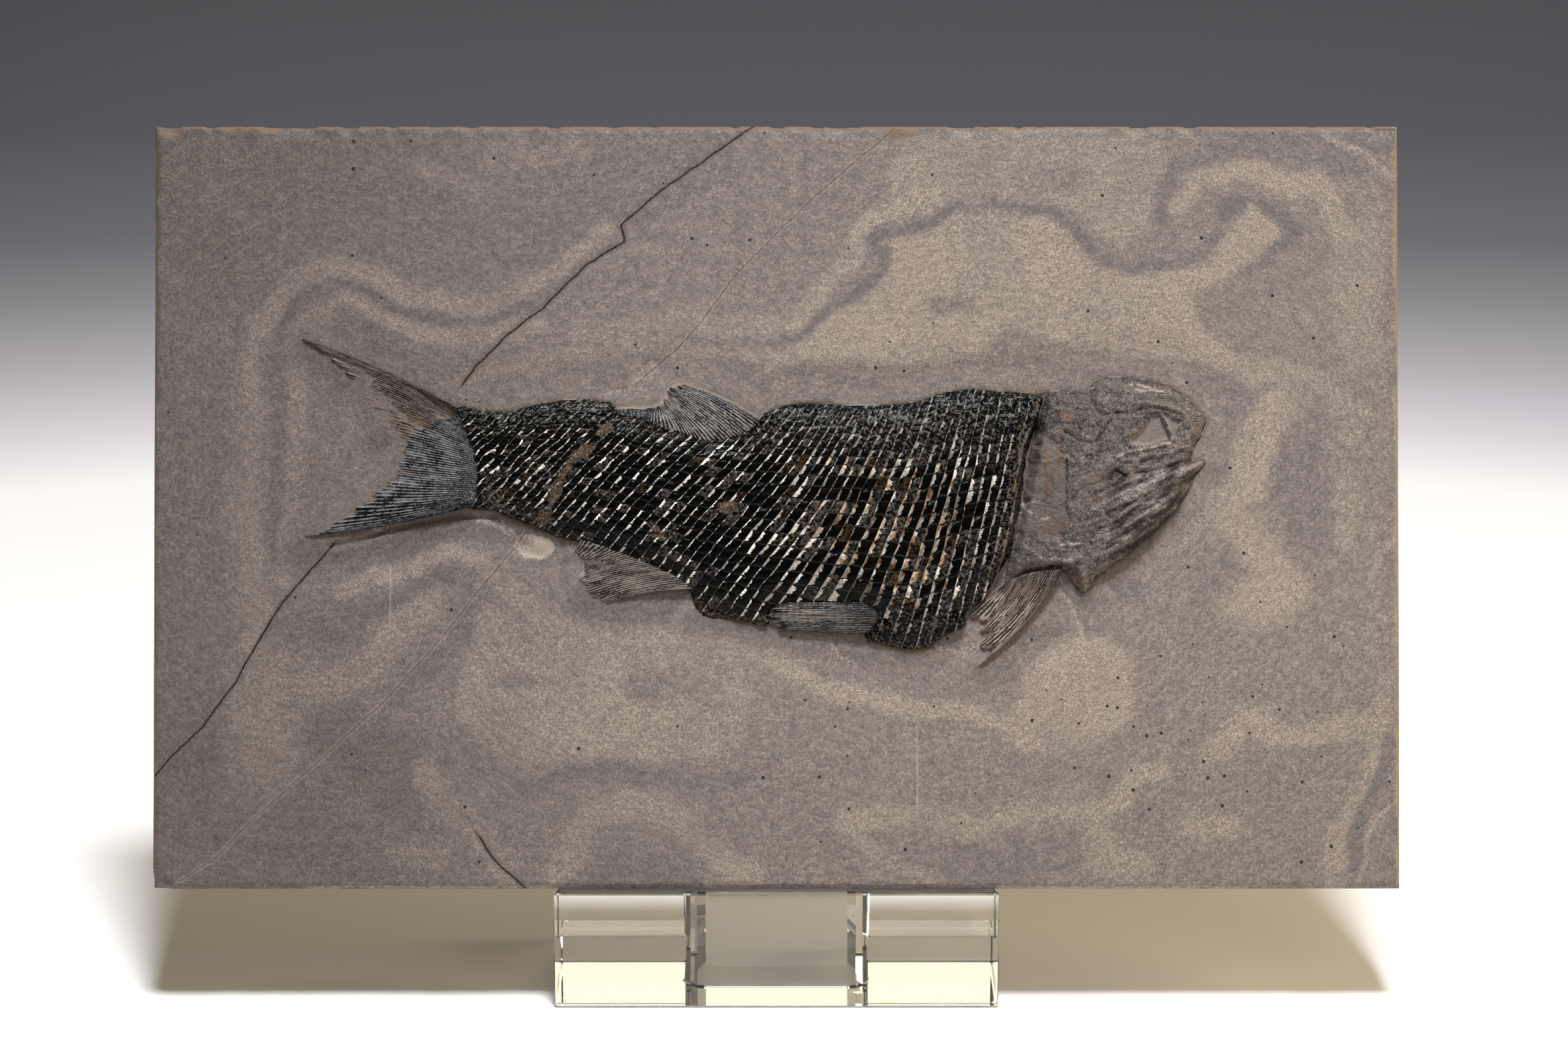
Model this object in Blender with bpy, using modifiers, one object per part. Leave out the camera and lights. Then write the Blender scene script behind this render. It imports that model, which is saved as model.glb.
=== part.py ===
"""A fossil fish in relief on a sawn limestone slab, which leans on a clear acrylic easel.

The fish and the slab are drawn on the slab's face: a runs to the right from the slab's middle, b runs up
from its lower edge, and n stands out of the face. One empty leans that whole face back.
"""

import math
import random

import bmesh
import bpy
from mathutils import Vector
from mathutils.noise import noise

# Every size below is in millimetres, and MM turns it to metres
MM = 0.001

SLAB_WIDTH = 160.0
SLAB_HEIGHT = 98.0
SLAB_THICKNESS = 11.0
SLAB_ARRIS = 0.7
LEAN = math.radians(15)

EASEL_WIDTH = 57.2
EASEL_DEPTH = 26.0
EASEL_FRONT_HEIGHT = 15.5
EASEL_BASE_THICKNESS = 6.0
EASEL_PRONG_THICKNESS = 5.0
EASEL_PRONG_REACH = 56.0
EASEL_SLOT_WIDTH = 24.0
EASEL_SLOT_CORNER = 4.0
EASEL_EDGE = 0.5

# The clearance between pieces that touch
GAP = 0.3
# The line that two neighbouring pieces of the fish share is drawn once, and the second piece keeps off it
SEAM = 0.4

# The fish's pieces go down into a bed cut in the stone, and the stone around them is dug down a little
FISH_FLOOR = -2.5
BED_FLOOR = FISH_FLOOR - GAP
HALO_DEPTH = 0.7
HALO_RIM = 1.6
# How far the cutters stand out of the face: past the fish's highest point, and just past the stone
OVER_FISH = 6.0
OVER_STONE = 1.0

# The slab's top leans out over the easel's back, and its bevelled back edge is the farthest place
WHOLE_DEPTH = EASEL_EDGE + (SLAB_HEIGHT - SLAB_ARRIS / 2) * math.sin(LEAN) + SLAB_THICKNESS * math.cos(LEAN)
EASEL_FRONT = -WHOLE_DEPTH / 2
EASEL_BACK = EASEL_FRONT + EASEL_DEPTH
SLAB_FOOT_Y = EASEL_FRONT + EASEL_EDGE
SLAB_FOOT_Z = EASEL_FRONT_HEIGHT + GAP / math.cos(LEAN)

# The fish's edges, as a and b on the face, each from the tail to the head unless it says otherwise
TAIL_ROOT = [(-40.8, 61.6), (-40.0, 59.0), (-38.8, 56.0), (-38.3, 53.0), (-38.7, 50.4), (-39.2, 49.0)]
BELLY_REAR = [(-36.6, 48.9), (-33.8, 47.6), (-31.0, 46.5), (-27.6, 45.2)]
ANAL_BASE = [(-25.2, 44.8), (-21.5, 43.6), (-18.4, 42.4), (-15.2, 41.1), (-12.8, 39.9), (-11.0, 38.4)]
BELLY_MIDDLE = [(-10.2, 36.0), (-8.6, 34.9), (-4.1, 34.4), (-1.3, 33.9)]
PELVIC_EDGE = [(-1.2, 35.0), (-0.3, 36.6), (6.0, 36.9), (10.8, 36.8), (12.7, 35.9), (13.1, 34.6),
               (11.6, 32.3)]
BELLY_FRONT = [(13.2, 31.7), (15.5, 31.0), (17.9, 30.8), (19.7, 31.1), (21.0, 32.2), (22.5, 33.2),
               (24.0, 34.0)]
PECTORAL_EDGE = [(24.0, 35.6), (26.3, 37.2), (26.9, 38.4)]
SHOULDER = [(27.2, 40.4), (29.1, 43.6), (30.0, 46.5), (30.5, 50.0), (30.7, 53.0), (31.0, 56.0),
            (32.2, 59.0), (33.6, 61.5), (34.0, 63.4)]
BACK_FRONT = [(34.0, 63.4), (32.8, 63.3), (30.0, 63.6), (26.4, 63.9), (23.3, 63.9), (20.4, 63.2),
              (18.4, 62.5), (16.1, 62.1), (10.0, 61.9), (3.1, 62.2), (0.2, 61.5), (-1.3, 60.7)]
DORSAL_BASE = [(-2.2, 60.1), (-4.0, 58.8), (-6.1, 57.8), (-9.5, 57.6), (-12.6, 58.7), (-15.8, 59.5),
               (-17.4, 60.4), (-20.3, 60.8)]
BACK_REAR = [(-21.4, 62.1), (-25.3, 62.7), (-29.6, 62.3), (-32.4, 61.7), (-35.2, 61.0), (-38.0, 61.2)]

# From the nape round the snout and the lower jaw to the root of the pectoral fin
HEAD_PROFILE = [(34.4, 63.6), (37.4, 63.8), (40.0, 63.4), (40.6, 64.7), (42.8, 65.5), (46.9, 65.2),
                (50.5, 64.3), (53.1, 62.7), (54.3, 61.2), (55.3, 60.1), (54.4, 58.0), (53.4, 56.0),
                (53.4, 54.5), (55.3, 55.2), (53.9, 53.2), (52.6, 50.8), (50.3, 47.7), (47.4, 44.9),
                (44.1, 42.4), (40.9, 40.0), (40.3, 38.7), (39.4, 38.1), (38.7, 38.6), (37.6, 40.2),
                (36.6, 41.0), (32.3, 40.4), (29.4, 39.5), (27.6, 38.8)]

# Where the belly and back lines run, past the coat's ends too, for the scale rows to follow
BELLY_LINE = [(-52.0, 47.0), (-38.0, 48.8), (-31.0, 46.5), (-20.0, 42.0), (-11.0, 37.2), (-4.0, 34.4),
              (4.0, 32.6), (17.9, 30.8), (25.0, 33.0), (40.0, 36.0)]
BACK_LINE = [(-52.0, 64.0), (-41.0, 61.9), (-35.2, 61.0), (-25.3, 62.7), (-12.0, 62.0), (3.1, 62.2),
             (16.1, 62.1), (26.4, 63.9), (40.0, 63.6)]

# How steeply the scale rows climb: degrees at the belly, the mid line and the back, at places along the fish
ROW_CLIMB = [(-45.0, (44, 43, 42)), (-30.0, (49, 46, 41)), (-10.0, (55, 46, 39)), (0.0, (54, 50, 52)),
             (10.0, (62, 63, 64)), (16.0, (74, 69, 65)), (25.0, (76, 77, 76))]
# How far apart the rows are along the mid line, at places along the fish
ROW_SPACING = [(-48.0, 1.2), (-34.0, 1.3), (-27.0, 1.18), (-20.0, 1.32), (-5.0, 1.4), (16.0, 1.55),
               (25.0, 1.38), (32.0, 1.0)]
# How far to both sides the fish's lines are looked at for their slope
SLOPE_REACH = 3.0
FIRST_ROW = -49.0
LAST_ROW = 32.5
# The joints between the scales of a row, as parts of the way from the belly to the back
SCALE_JOINTS = [-0.04, 0.09, 0.21, 0.31, 0.41, 0.50, 0.59, 0.68, 0.78, 0.89, 1.04]
SCALE_FACE = 0.82
SCALE_STEP = 0.34
JOINT_LIP = 0.16
JOINT_DIP = 0.14
BODY_SWELL = [(-45.0, 0.9), (-30.0, 1.3), (-10.0, 1.9), (12.0, 2.2), (28.0, 2.1), (36.0, 1.9)]
BODY_EDGE = -0.35

# Each fin: its root, its tips in the same order, how far its first and last rays bow, its rays and its level
TAIL_TIPS = [(-60.2, 70.3), (-57.8, 68.4), (-54.4, 65.3), (-52.7, 62.7), (-50.7, 59.3), (-48.5, 56.5),
             (-48.6, 54.2), (-49.8, 52.3), (-53.5, 49.5), (-58.4, 45.9), (-60.4, 45.2)]
DORSAL_TIPS = [(-12.0, 64.7), (-13.6, 64.3), (-14.3, 63.1), (-14.8, 62.2), (-16.6, 61.7), (-20.4, 61.6)]
ANAL_TIPS = [(-25.9, 43.5), (-24.8, 42.1), (-24.6, 40.8), (-25.3, 39.8), (-24.5, 38.5), (-22.9, 37.2),
             (-21.2, 36.7)]
FIN_STEPS = 3
PELVIC_ROOT = [(11.0, 36.3), (12.3, 35.3), (12.4, 34.2), (11.1, 32.9)]
PELVIC_TIPS = [(0.1, 36.1), (-0.7, 35.2), (-0.5, 34.3), (0.6, 33.4)]
PECTORAL_ROOT = [(36.4, 40.3), (34.3, 40.1), (32.2, 39.7), (30.0, 38.9)]
PECTORAL_TIPS = [(26.3, 28.9), (27.4, 30.2), (26.3, 31.4), (27.3, 32.3), (26.3, 33.1), (26.9, 34.0),
                 (25.0, 35.1)]

# The ground dug away around the fish, counter-clockwise from the upper tip of the tail
HALO = [(-62.5, 71.5), (-59.5, 67.5), (-55.5, 63.5), (-53.5, 60.0), (-52.0, 56.5), (-52.5, 53.5),
        (-55.0, 51.5), (-59.0, 49.0), (-63.0, 46.5), (-63.0, 43.5), (-57.0, 42.3), (-50.0, 43.5),
        (-43.0, 45.3), (-36.0, 45.5), (-31.0, 43.8), (-28.0, 42.0), (-27.8, 38.5), (-25.5, 35.8),
        (-21.0, 34.6), (-14.0, 34.8), (-9.0, 32.6), (-3.0, 31.3), (4.0, 30.3), (12.0, 29.0), (18.0, 28.4),
        (22.5, 29.5), (24.0, 27.5), (27.5, 26.5), (31.0, 29.0), (35.0, 33.0), (38.0, 36.0), (41.0, 36.0),
        (43.5, 38.8), (48.0, 42.5), (52.0, 46.5), (55.5, 51.5), (57.6, 55.5), (57.8, 60.5), (55.8, 64.0),
        (51.5, 67.0), (46.0, 68.0), (40.5, 67.5), (37.0, 66.2), (30.0, 66.0), (22.0, 66.0), (16.0, 64.6),
        (4.0, 64.8), (-2.0, 63.9), (-7.0, 66.0), (-12.0, 67.2), (-16.5, 66.2), (-18.0, 64.6), (-26.0, 65.0),
        (-33.0, 64.0), (-38.0, 63.4), (-44.0, 64.5), (-49.0, 67.0), (-54.0, 70.5), (-60.0, 72.8)]
# The open crack, in the three runs that it steps between
CRACK_RUNS = [
    [(-1.6, 98.9), (-8.2, 94.4), (-15.4, 89.3), (-20.4, 84.9)],
    [(-19.0, 83.5), (-24.6, 80.0), (-29.7, 74.9), (-34.9, 70.8), (-38.5, 67.2)],
    [(-58.6, 42.3), (-63.6, 36.5), (-69.7, 26.2), (-73.8, 20.6), (-78.0, 16.5), (-80.9, 13.2)],
]
CRACK_RADIUS = 0.42
CORNER_CHIP = [(-81.0, -1.0), (-78.2, -1.0), (-81.0, 1.8)]
CORNER_CHIP_DEPTH = 4.0
SCAR_CENTRE = (-31.0, 43.2)
SCAR_RADII = (2.8, 1.7, 0.35)
TAIL_WALL = [(-57.0, 44.4), (-50.7, 45.6), (-45.0, 47.1), (-40.8, 48.0), (-35.2, 47.6), (-34.0, 46.2),
             (-41.0, 46.2), (-46.0, 45.0), (-51.5, 43.6), (-58.0, 42.8)]
TAIL_WALL_DEPTH = 1.5


def at(points, x):
    """The height of a line of points at x, straight from point to point."""
    for (x0, y0), (x1, y1) in zip(points, points[1:]):
        if x <= x1 or (x1, y1) == points[-1]:
            return y0 + (y1 - y0) * (x - x0) / (x1 - x0)


def along(points, t):
    """The point at the part t of a smooth line through the points."""
    spot = min(max(t, 0.0), 1.0) * (len(points) - 1)
    i = min(int(spot), len(points) - 2)
    f = spot - i
    before, start, end, after = (Vector(points[min(max(k, 0), len(points) - 1)]) for k in range(i - 1, i + 3))
    return 0.5 * (2 * start + (end - before) * f + (2 * before - 5 * start + 4 * end - after) * f * f
                  + (3 * start - 3 * end + after - before) * f ** 3)


def shifted(points, across, up):
    return [(a + across, b + up) for a, b in points]


def grown(points, distance):
    """A closed outline that runs counter-clockwise, moved outwards by the distance."""
    moved = []
    for i, corner in enumerate(points):
        before = (Vector(corner) - Vector(points[i - 1])).normalized()
        after = (Vector(points[(i + 1) % len(points)]) - Vector(corner)).normalized()
        out = Vector((before.y + after.y, -before.x - after.x))
        reach = distance / max(out.length / 2, 0.5)
        moved.append(tuple(Vector(corner) + out.normalized() * reach))
    return moved


def clear_scene():
    for old in list(bpy.data.objects):
        bpy.data.objects.remove(old, do_unlink=True)


def new_collection(name):
    made = bpy.data.collections.new(name)
    bpy.context.scene.collection.children.link(made)
    return made


def new_object(name, mesh, place, parent=None):
    made = bpy.data.objects.new(name, mesh)
    place.objects.link(made)
    made.parent = parent
    return made


def as_cutter(cutter):
    cutter.hide_render = True
    cutter.display_type = "WIRE"
    return cutter


def finish(part, colour, roughness, transmission=0.0, ior=1.5):
    material = bpy.data.materials.new(part.name + "_finish")
    material.use_nodes = True
    shader = material.node_tree.nodes["Principled BSDF"]
    shader.inputs["Base Color"].default_value = (*colour, 1.0)
    shader.inputs["Roughness"].default_value = roughness
    shader.inputs["Transmission Weight"].default_value = transmission
    shader.inputs["IOR"].default_value = ior
    part.data.materials.append(material)


def cut(part, cutter, operation="DIFFERENCE"):
    boolean = part.modifiers.new(cutter.name, "BOOLEAN")
    boolean.operation = operation
    boolean.object = cutter
    boolean.solver = "EXACT"


def mesh_from_curve(curve, name, place, parent):
    """The curve as a welded mesh object, because a curve can't cut."""
    drawn = new_object(name + "_curve", curve, place, parent)
    bpy.context.view_layer.update()
    evaluated = drawn.evaluated_get(bpy.context.evaluated_depsgraph_get())
    mesh = bpy.data.meshes.new_from_object(evaluated)
    welded = bmesh.new()
    welded.from_mesh(mesh)
    bmesh.ops.remove_doubles(welded, verts=welded.verts, dist=1e-6)
    bmesh.ops.recalc_face_normals(welded, faces=welded.faces)
    welded.to_mesh(mesh)
    welded.free()
    made = new_object(name, mesh, place, parent)
    made.matrix_world = drawn.matrix_world
    bpy.data.objects.remove(drawn, do_unlink=True)
    return made


def prism(name, outline, low, high, place, parent):
    """A flat outline on the face, given depth from low to high."""
    curve = bpy.data.curves.new(name, "CURVE")
    curve.dimensions = "2D"
    curve.fill_mode = "BOTH"
    curve.extrude = (high - low) / 2 * MM
    line = curve.splines.new("POLY")
    line.points.add(len(outline) - 1)
    for point, (a, b) in zip(line.points, outline):
        point.co = (a * MM, b * MM, 0.0, 1.0)
    line.use_cyclic_u = True
    made = mesh_from_curve(curve, name, place, parent)
    for vertex in made.data.vertices:
        vertex.co.z += (low + high) / 2 * MM
    return made


def groove_cutter(name, route, radius, place, parent):
    """A four-sided rod along the face, which cuts a V."""
    curve = bpy.data.curves.new(name, "CURVE")
    curve.dimensions = "3D"
    curve.bevel_depth = radius * MM
    curve.bevel_resolution = 0
    curve.use_fill_caps = True
    line = curve.splines.new("POLY")
    line.points.add(len(route) - 1)
    for point, (a, b) in zip(line.points, route):
        point.co = (a * MM, b * MM, stone_height(a, b) * MM, 1.0)
    return as_cutter(mesh_from_curve(curve, name, place, parent))


def relief(name, columns, rows, surface, floor, place, parent):
    """A closed body whose top is a grid laid by surface(column, row) and whose underside is flat."""
    sheet = bmesh.new()
    bmesh.ops.create_grid(sheet, x_segments=columns, y_segments=rows, size=1.0)
    for vertex in sheet.verts:
        column = round((vertex.co.x + 1) / 2 * columns)
        row = round((vertex.co.y + 1) / 2 * rows)
        vertex.co = Vector(surface(column, row)) * MM
    border = [edge for edge in sheet.edges if edge.is_boundary]
    skirt = bmesh.ops.extrude_edge_only(sheet, edges=border)["geom"]
    for vertex in (item for item in skirt if isinstance(item, bmesh.types.BMVert)):
        vertex.co.z = floor * MM
    rim = [item for item in skirt if isinstance(item, bmesh.types.BMEdge) and item.is_boundary]
    bmesh.ops.contextual_create(sheet, geom=rim)
    bmesh.ops.recalc_face_normals(sheet, faces=sheet.faces)
    mesh = bpy.data.meshes.new(name)
    sheet.to_mesh(mesh)
    sheet.free()
    return new_object(name, mesh, place, parent)


def stone_height(a, b):
    """The hand-worked face of the stone: gentle hollows, never above the sawn level."""
    return -0.25 - 0.25 * noise(Vector((a * 0.035, b * 0.05, 4.0)))


def grid_lines(size, arris, count):
    """Grid lines across a size, with the first and last pair one arris apart."""
    inner = [arris + (size - 2 * arris) * i / (count - 2) for i in range(count - 1)]
    return [0.0, *inner, size]


def matrix_slab(place, cutters, parent):
    columns, rows = 20, 12
    across = grid_lines(SLAB_WIDTH, SLAB_ARRIS, columns)
    up = grid_lines(SLAB_HEIGHT, SLAB_ARRIS, rows)
    chips = random.Random(5)
    nicks = [chips.uniform(0.0, 0.5) for _ in range(columns + 1)]

    def surface(column, row):
        a = across[column] - SLAB_WIDTH / 2
        b = up[row]
        n = stone_height(a, b)
        if row in (0, rows) or column in (0, columns):
            n = -SLAB_ARRIS
        if row == rows and 0 < column < columns and column % 3:
            b -= nicks[column]
        return a, b, n

    slab = relief("matrix_slab", columns, rows, surface, -SLAB_THICKNESS, place, parent)
    edges = slab.modifiers.new("back_arris", "BEVEL")
    edges.width = SLAB_ARRIS / 2 * MM
    edges.segments = 1
    edges.limit_method = "ANGLE"
    edges.angle_limit = math.radians(60)
    for run in CRACK_RUNS:
        cut(slab, groove_cutter("crack_groove", run, CRACK_RADIUS, cutters, parent))
    cut(slab, scar_cutter(cutters, parent))
    cut(slab, as_cutter(prism("corner_chip", CORNER_CHIP, -CORNER_CHIP_DEPTH, OVER_STONE, cutters, parent)))
    finish(slab, (0.30, 0.27, 0.24), 0.85)
    return slab


def scar_cutter(cutters, parent):
    """A flattened ball that takes the chip out of the stone below the tail."""
    ball = bmesh.new()
    bmesh.ops.create_uvsphere(ball, u_segments=12, v_segments=6, radius=1.0)
    a, b = SCAR_CENTRE
    for vertex in ball.verts:
        x, y, z = (value * radius for value, radius in zip(vertex.co, SCAR_RADII))
        vertex.co = Vector((a + x, b + y, stone_height(a, b) - HALO_DEPTH / 2 + z)) * MM
    mesh = bpy.data.meshes.new("chip_scar")
    ball.to_mesh(mesh)
    ball.free()
    return as_cutter(new_object("chip_scar", mesh, cutters, parent))


def halo_cutter(cutters, parent):
    """The ground that was dug away around the fish: a shallow bed with a sloping rim."""
    halo = prism("halo", HALO, -HALO_DEPTH, OVER_STONE, cutters, parent)
    corners = [(Vector(inner) * MM, Vector(outer) * MM) for inner, outer in zip(HALO, grown(HALO, HALO_RIM))]
    for vertex in halo.data.vertices:
        if vertex.co.z > 0:
            vertex.co.xy = min(corners, key=lambda pair: (pair[0] - vertex.co.xy).length)[1]
    return as_cutter(halo)


def row_climb(a, part):
    """How steeply a row climbs, in radians, at a place along the fish and a part of the way up it."""
    steps = [(place, degrees[0] + (degrees[1] - degrees[0]) * 2 * part if part < 0.5
              else degrees[1] + (degrees[2] - degrees[1]) * (2 * part - 1)) for place, degrees in ROW_CLIMB]
    return math.radians(at(steps, min(max(a, steps[0][0]), steps[-1][0])))


def level(a, part):
    """How high the line runs that is a part of the way from the belly to the back."""
    return at(BELLY_LINE, a) + part * (at(BACK_LINE, a) - at(BELLY_LINE, a))


def row_point(start, part):
    """Where the row that crosses the mid line at start stands, a part of the way from belly to back."""
    a = start
    steps = 12
    reach = (part - 0.5) / steps
    for i in range(steps):
        here = 0.5 + reach * (i + 0.5)
        rise = level(a + SLOPE_REACH, here) - level(a - SLOPE_REACH, here)
        climb = math.tan(row_climb(a, min(max(here, 0.0), 1.0))) - rise / (2 * SLOPE_REACH)
        a += reach * (level(a, 1.0) - level(a, 0.0)) / climb
    return a, level(a, part)


def row_starts():
    starts = [FIRST_ROW]
    while starts[-1] < LAST_ROW:
        starts.append(starts[-1] + at(ROW_SPACING, starts[-1]))
    return starts


def body_height(a, part):
    """The swell of the flattened body, from its edge to its middle."""
    round_off = max(0.0, 1 - abs(2 * part - 1) ** 2.4) ** 0.7
    return BODY_EDGE + (at(BODY_SWELL, a) - BODY_EDGE) * round_off


def coat_outline():
    return (TAIL_ROOT + BELLY_REAR + ANAL_BASE + BELLY_MIDDLE + PELVIC_EDGE + BELLY_FRONT
            + PECTORAL_EDGE + SHOULDER + BACK_FRONT[1:] + DORSAL_BASE + BACK_REAR)


def scale_coat(place, cutters, parent):
    """The coat of bony scales: each row ends in a step at its tailward edge and is notched at its joints."""
    starts = row_starts()
    columns = 2 * (len(starts) - 1)
    rows = 2 * (len(SCALE_JOINTS) - 1)

    def surface(column, row):
        i, on_step = divmod(column, 2)
        start = starts[i]
        if on_step:
            start += (starts[i + 1] - start) * (1 - SCALE_FACE)
        j, on_lip = divmod(row, 2)
        part = SCALE_JOINTS[j]
        if on_lip:
            part += (SCALE_JOINTS[j + 1] - part) * JOINT_LIP
        a, b = row_point(start, part)
        n = body_height(a, part) + (SCALE_STEP if on_step else 0.0) - (0.0 if on_lip else JOINT_DIP)
        return a, b, n

    coat = relief("scale_coat", columns, rows, surface, FISH_FLOOR, place, parent)
    outline = prism("scale_coat_outline", coat_outline(), FISH_FLOOR - 1, OVER_FISH, cutters, parent)
    cut(coat, as_cutter(outline), "INTERSECT")
    finish(coat, (0.020, 0.018, 0.016), 0.25)
    return coat


def ridge(a, b, start, end, width, height):
    """A rounded ridge along a line on the face."""
    spot, first, last = Vector((a, b)), Vector(start), Vector(end)
    run = last - first
    t = min(max((spot - first).dot(run) / run.length_squared, 0.0), 1.0)
    return height * math.exp(-((spot - first - run * t).length / width) ** 2)


SKULL_RIDGES = [
    ((44.0, 55.4), (51.0, 57.4), 1.0, 0.7),
    ((45.5, 62.6), (52.5, 61.4), 1.3, 0.5),
    ((41.0, 43.5), (53.2, 54.0), 1.4, 0.6),
    ((37.2, 54.5), (37.4, 46.0), 0.9, -0.5),
    ((31.0, 55.0), (36.0, 60.0), 1.2, 0.35),
    ((40.0, 57.8), (45.0, 56.0), 0.9, -0.4),
    ((35.5, 43.6), (39.0, 43.9), 0.9, 0.5),
    ((35.8, 41.8), (38.6, 41.9), 0.7, 0.4),
    ((42.0, 49.0), (47.5, 53.5), 1.0, -0.35),
]
ORBIT = (48.7, 58.9)
ORBIT_RADII = (3.1, 2.1)
ORBIT_DEPTH = 1.1


def skull_height(a, b):
    """The flattened skull: a low dome with its bones as ridges and the eye socket sunk in it."""
    reach = ((a - 39.5) / 18.5) ** 2 + ((b - 52.2) / 15.5) ** 2
    height = -0.2 + 2.5 * max(0.0, 1 - reach) ** 0.6
    for start, end, width, rise in SKULL_RIDGES:
        height += ridge(a, b, start, end, width, rise)
    inside = ((a - ORBIT[0]) / ORBIT_RADII[0]) ** 2 + ((b - ORBIT[1]) / ORBIT_RADII[1]) ** 2
    return height - ORBIT_DEPTH * math.exp(-inside ** 2)


def skull_outline():
    shoulder = shifted(PECTORAL_EDGE[-1:] + SHOULDER, SEAM, 0.0)
    return list(reversed(HEAD_PROFILE[:-1])) + list(reversed(shoulder[1:]))


def skull(place, cutters, parent):
    columns, rows = 24, 22
    left, right, low, high = 26.0, 56.5, 37.0, 66.5

    def surface(column, row):
        a = left + (right - left) * column / columns
        b = low + (high - low) * row / rows
        return a, b, skull_height(a, b)

    head = relief("skull", columns, rows, surface, FISH_FLOOR, place, parent)
    outline = prism("skull_outline", skull_outline(), FISH_FLOOR - 1, OVER_FISH, cutters, parent)
    cut(head, as_cutter(outline), "INTERSECT")
    finish(head, (0.060, 0.052, 0.046), 0.4)
    return head


class Fin:
    """A fin of rays between its root and its tips, the rays in step along both lines."""

    def __init__(self, name, root, tips, rays, level, bow, height=0.3):
        self.name = name
        self.root = root
        self.tips = tips
        self.rays = rays
        self.level = level
        self.bow = bow
        self.height = height

    def point(self, across, out):
        """The place a part of the way across the rays and a part of the way out along them."""
        start = along(self.root, across)
        end = along(self.tips, across)
        side = Vector((start.y - end.y, end.x - start.x)).normalized()
        first, last = self.bow
        swing = first + (last - first) * across
        return start.lerp(end, out) + side * swing * 4 * out * (1 - out)

    def outline(self):
        steps = self.rays
        edge = [self.point(i / steps, 0.0) for i in range(steps + 1)]
        edge += [self.point(1.0, k / FIN_STEPS) for k in range(1, FIN_STEPS)]
        edge += [self.point(1 - i / steps, 1.0) for i in range(steps + 1)]
        edge += [self.point(0.0, 1 - k / FIN_STEPS) for k in range(1, FIN_STEPS)]
        turn = sum(edge[i - 1].cross(edge[i]) for i in range(len(edge)))
        return [tuple(spot) for spot in (edge if turn > 0 else reversed(edge))]

    def build(self, place, parent):
        columns, rows = 2 * self.rays, FIN_STEPS

        def surface(column, row):
            spot = self.point(column / columns, row / rows)
            ray = self.height if column % 2 else 0.0
            thin = 1 - 0.5 * row / rows
            low, high = self.level
            return spot.x, spot.y, low + (high - low) * (1 - row / rows) + ray * thin

        fin = relief(self.name, columns, rows, surface, FISH_FLOOR, place, parent)
        finish(fin, (0.075, 0.066, 0.058), 0.45)
        return fin


def make_fins():
    return [
        Fin("tail_fin", shifted(TAIL_ROOT, -SEAM, 0.0), TAIL_TIPS, 20, (-0.5, 0.3), (-0.6, 0.5)),
        Fin("dorsal_fin", shifted(DORSAL_BASE, 0.0, SEAM), DORSAL_TIPS, 11, (-0.3, 0.5), (-0.5, 0.2)),
        Fin("anal_fin", shifted(ANAL_BASE, 0.0, -SEAM), ANAL_TIPS, 11, (-0.5, 0.2), (0.1, -0.5)),
        Fin("pelvic_fin", PELVIC_ROOT, PELVIC_TIPS, 6, (-0.2, 0.6), (0.0, 0.0)),
        Fin("pectoral_fin", PECTORAL_ROOT, PECTORAL_TIPS, 9, (-0.2, 0.7), (0.9, 0.0)),
    ]


def easel_profile():
    """The easel from its side, as places along the depth and up: seat, leaning prong, base."""
    lean_up = Vector((math.sin(LEAN), math.cos(LEAN)))
    into = Vector((math.cos(LEAN), -math.sin(LEAN)))
    foot = Vector((SLAB_FOOT_Y, SLAB_FOOT_Z))
    seat_back = foot - lean_up * GAP + into * (SLAB_THICKNESS + GAP)
    prong_top = foot + lean_up * EASEL_PRONG_REACH + into * (SLAB_THICKNESS + GAP)
    prong_back = prong_top + into * EASEL_PRONG_THICKNESS
    heel = foot + into * (SLAB_THICKNESS + GAP + EASEL_PRONG_THICKNESS)
    heel -= lean_up * ((heel.y - EASEL_BASE_THICKNESS) / lean_up.y)
    return [(EASEL_FRONT, 0.0), (EASEL_BACK, 0.0), (EASEL_BACK, EASEL_BASE_THICKNESS), tuple(heel),
            tuple(prong_back), tuple(prong_top), tuple(seat_back), (SLAB_FOOT_Y, EASEL_FRONT_HEIGHT),
            (EASEL_FRONT, EASEL_FRONT_HEIGHT)]


def slot_outline(start, end):
    """The slot between the prongs seen from above, open to the back, with rounded inner corners."""
    half = EASEL_SLOT_WIDTH / 2
    turns = [math.radians(90 * i / 5) for i in range(6)]
    corner = [(half - EASEL_SLOT_CORNER * (1 - math.sin(turn)),
               start + EASEL_SLOT_CORNER * (1 - math.cos(turn))) for turn in turns]
    mirrored = [(-x, y) for x, y in reversed(corner)]
    return [(half, end), (-half, end), *mirrored, *corner]


def acrylic_easel(place, cutters):
    profile = prism("acrylic_easel", easel_profile(), -EASEL_WIDTH / 2, EASEL_WIDTH / 2, place, None)
    for vertex in profile.data.vertices:
        depth, height, across = vertex.co
        vertex.co = (across, depth, height)
    seat_back_y = easel_profile()[6][0]
    outline = slot_outline(seat_back_y, 2 * EASEL_DEPTH)
    slot = prism("prong_slot", outline, -EASEL_FRONT_HEIGHT, 2 * EASEL_PRONG_REACH, cutters, None)
    cut(profile, as_cutter(slot))
    rounding = profile.modifiers.new("polished_edges", "BEVEL")
    rounding.width = EASEL_EDGE * MM
    rounding.segments = 2
    rounding.limit_method = "ANGLE"
    finish(profile, (0.95, 0.97, 0.98), 0.03, transmission=1.0, ior=1.49)
    return profile


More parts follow.
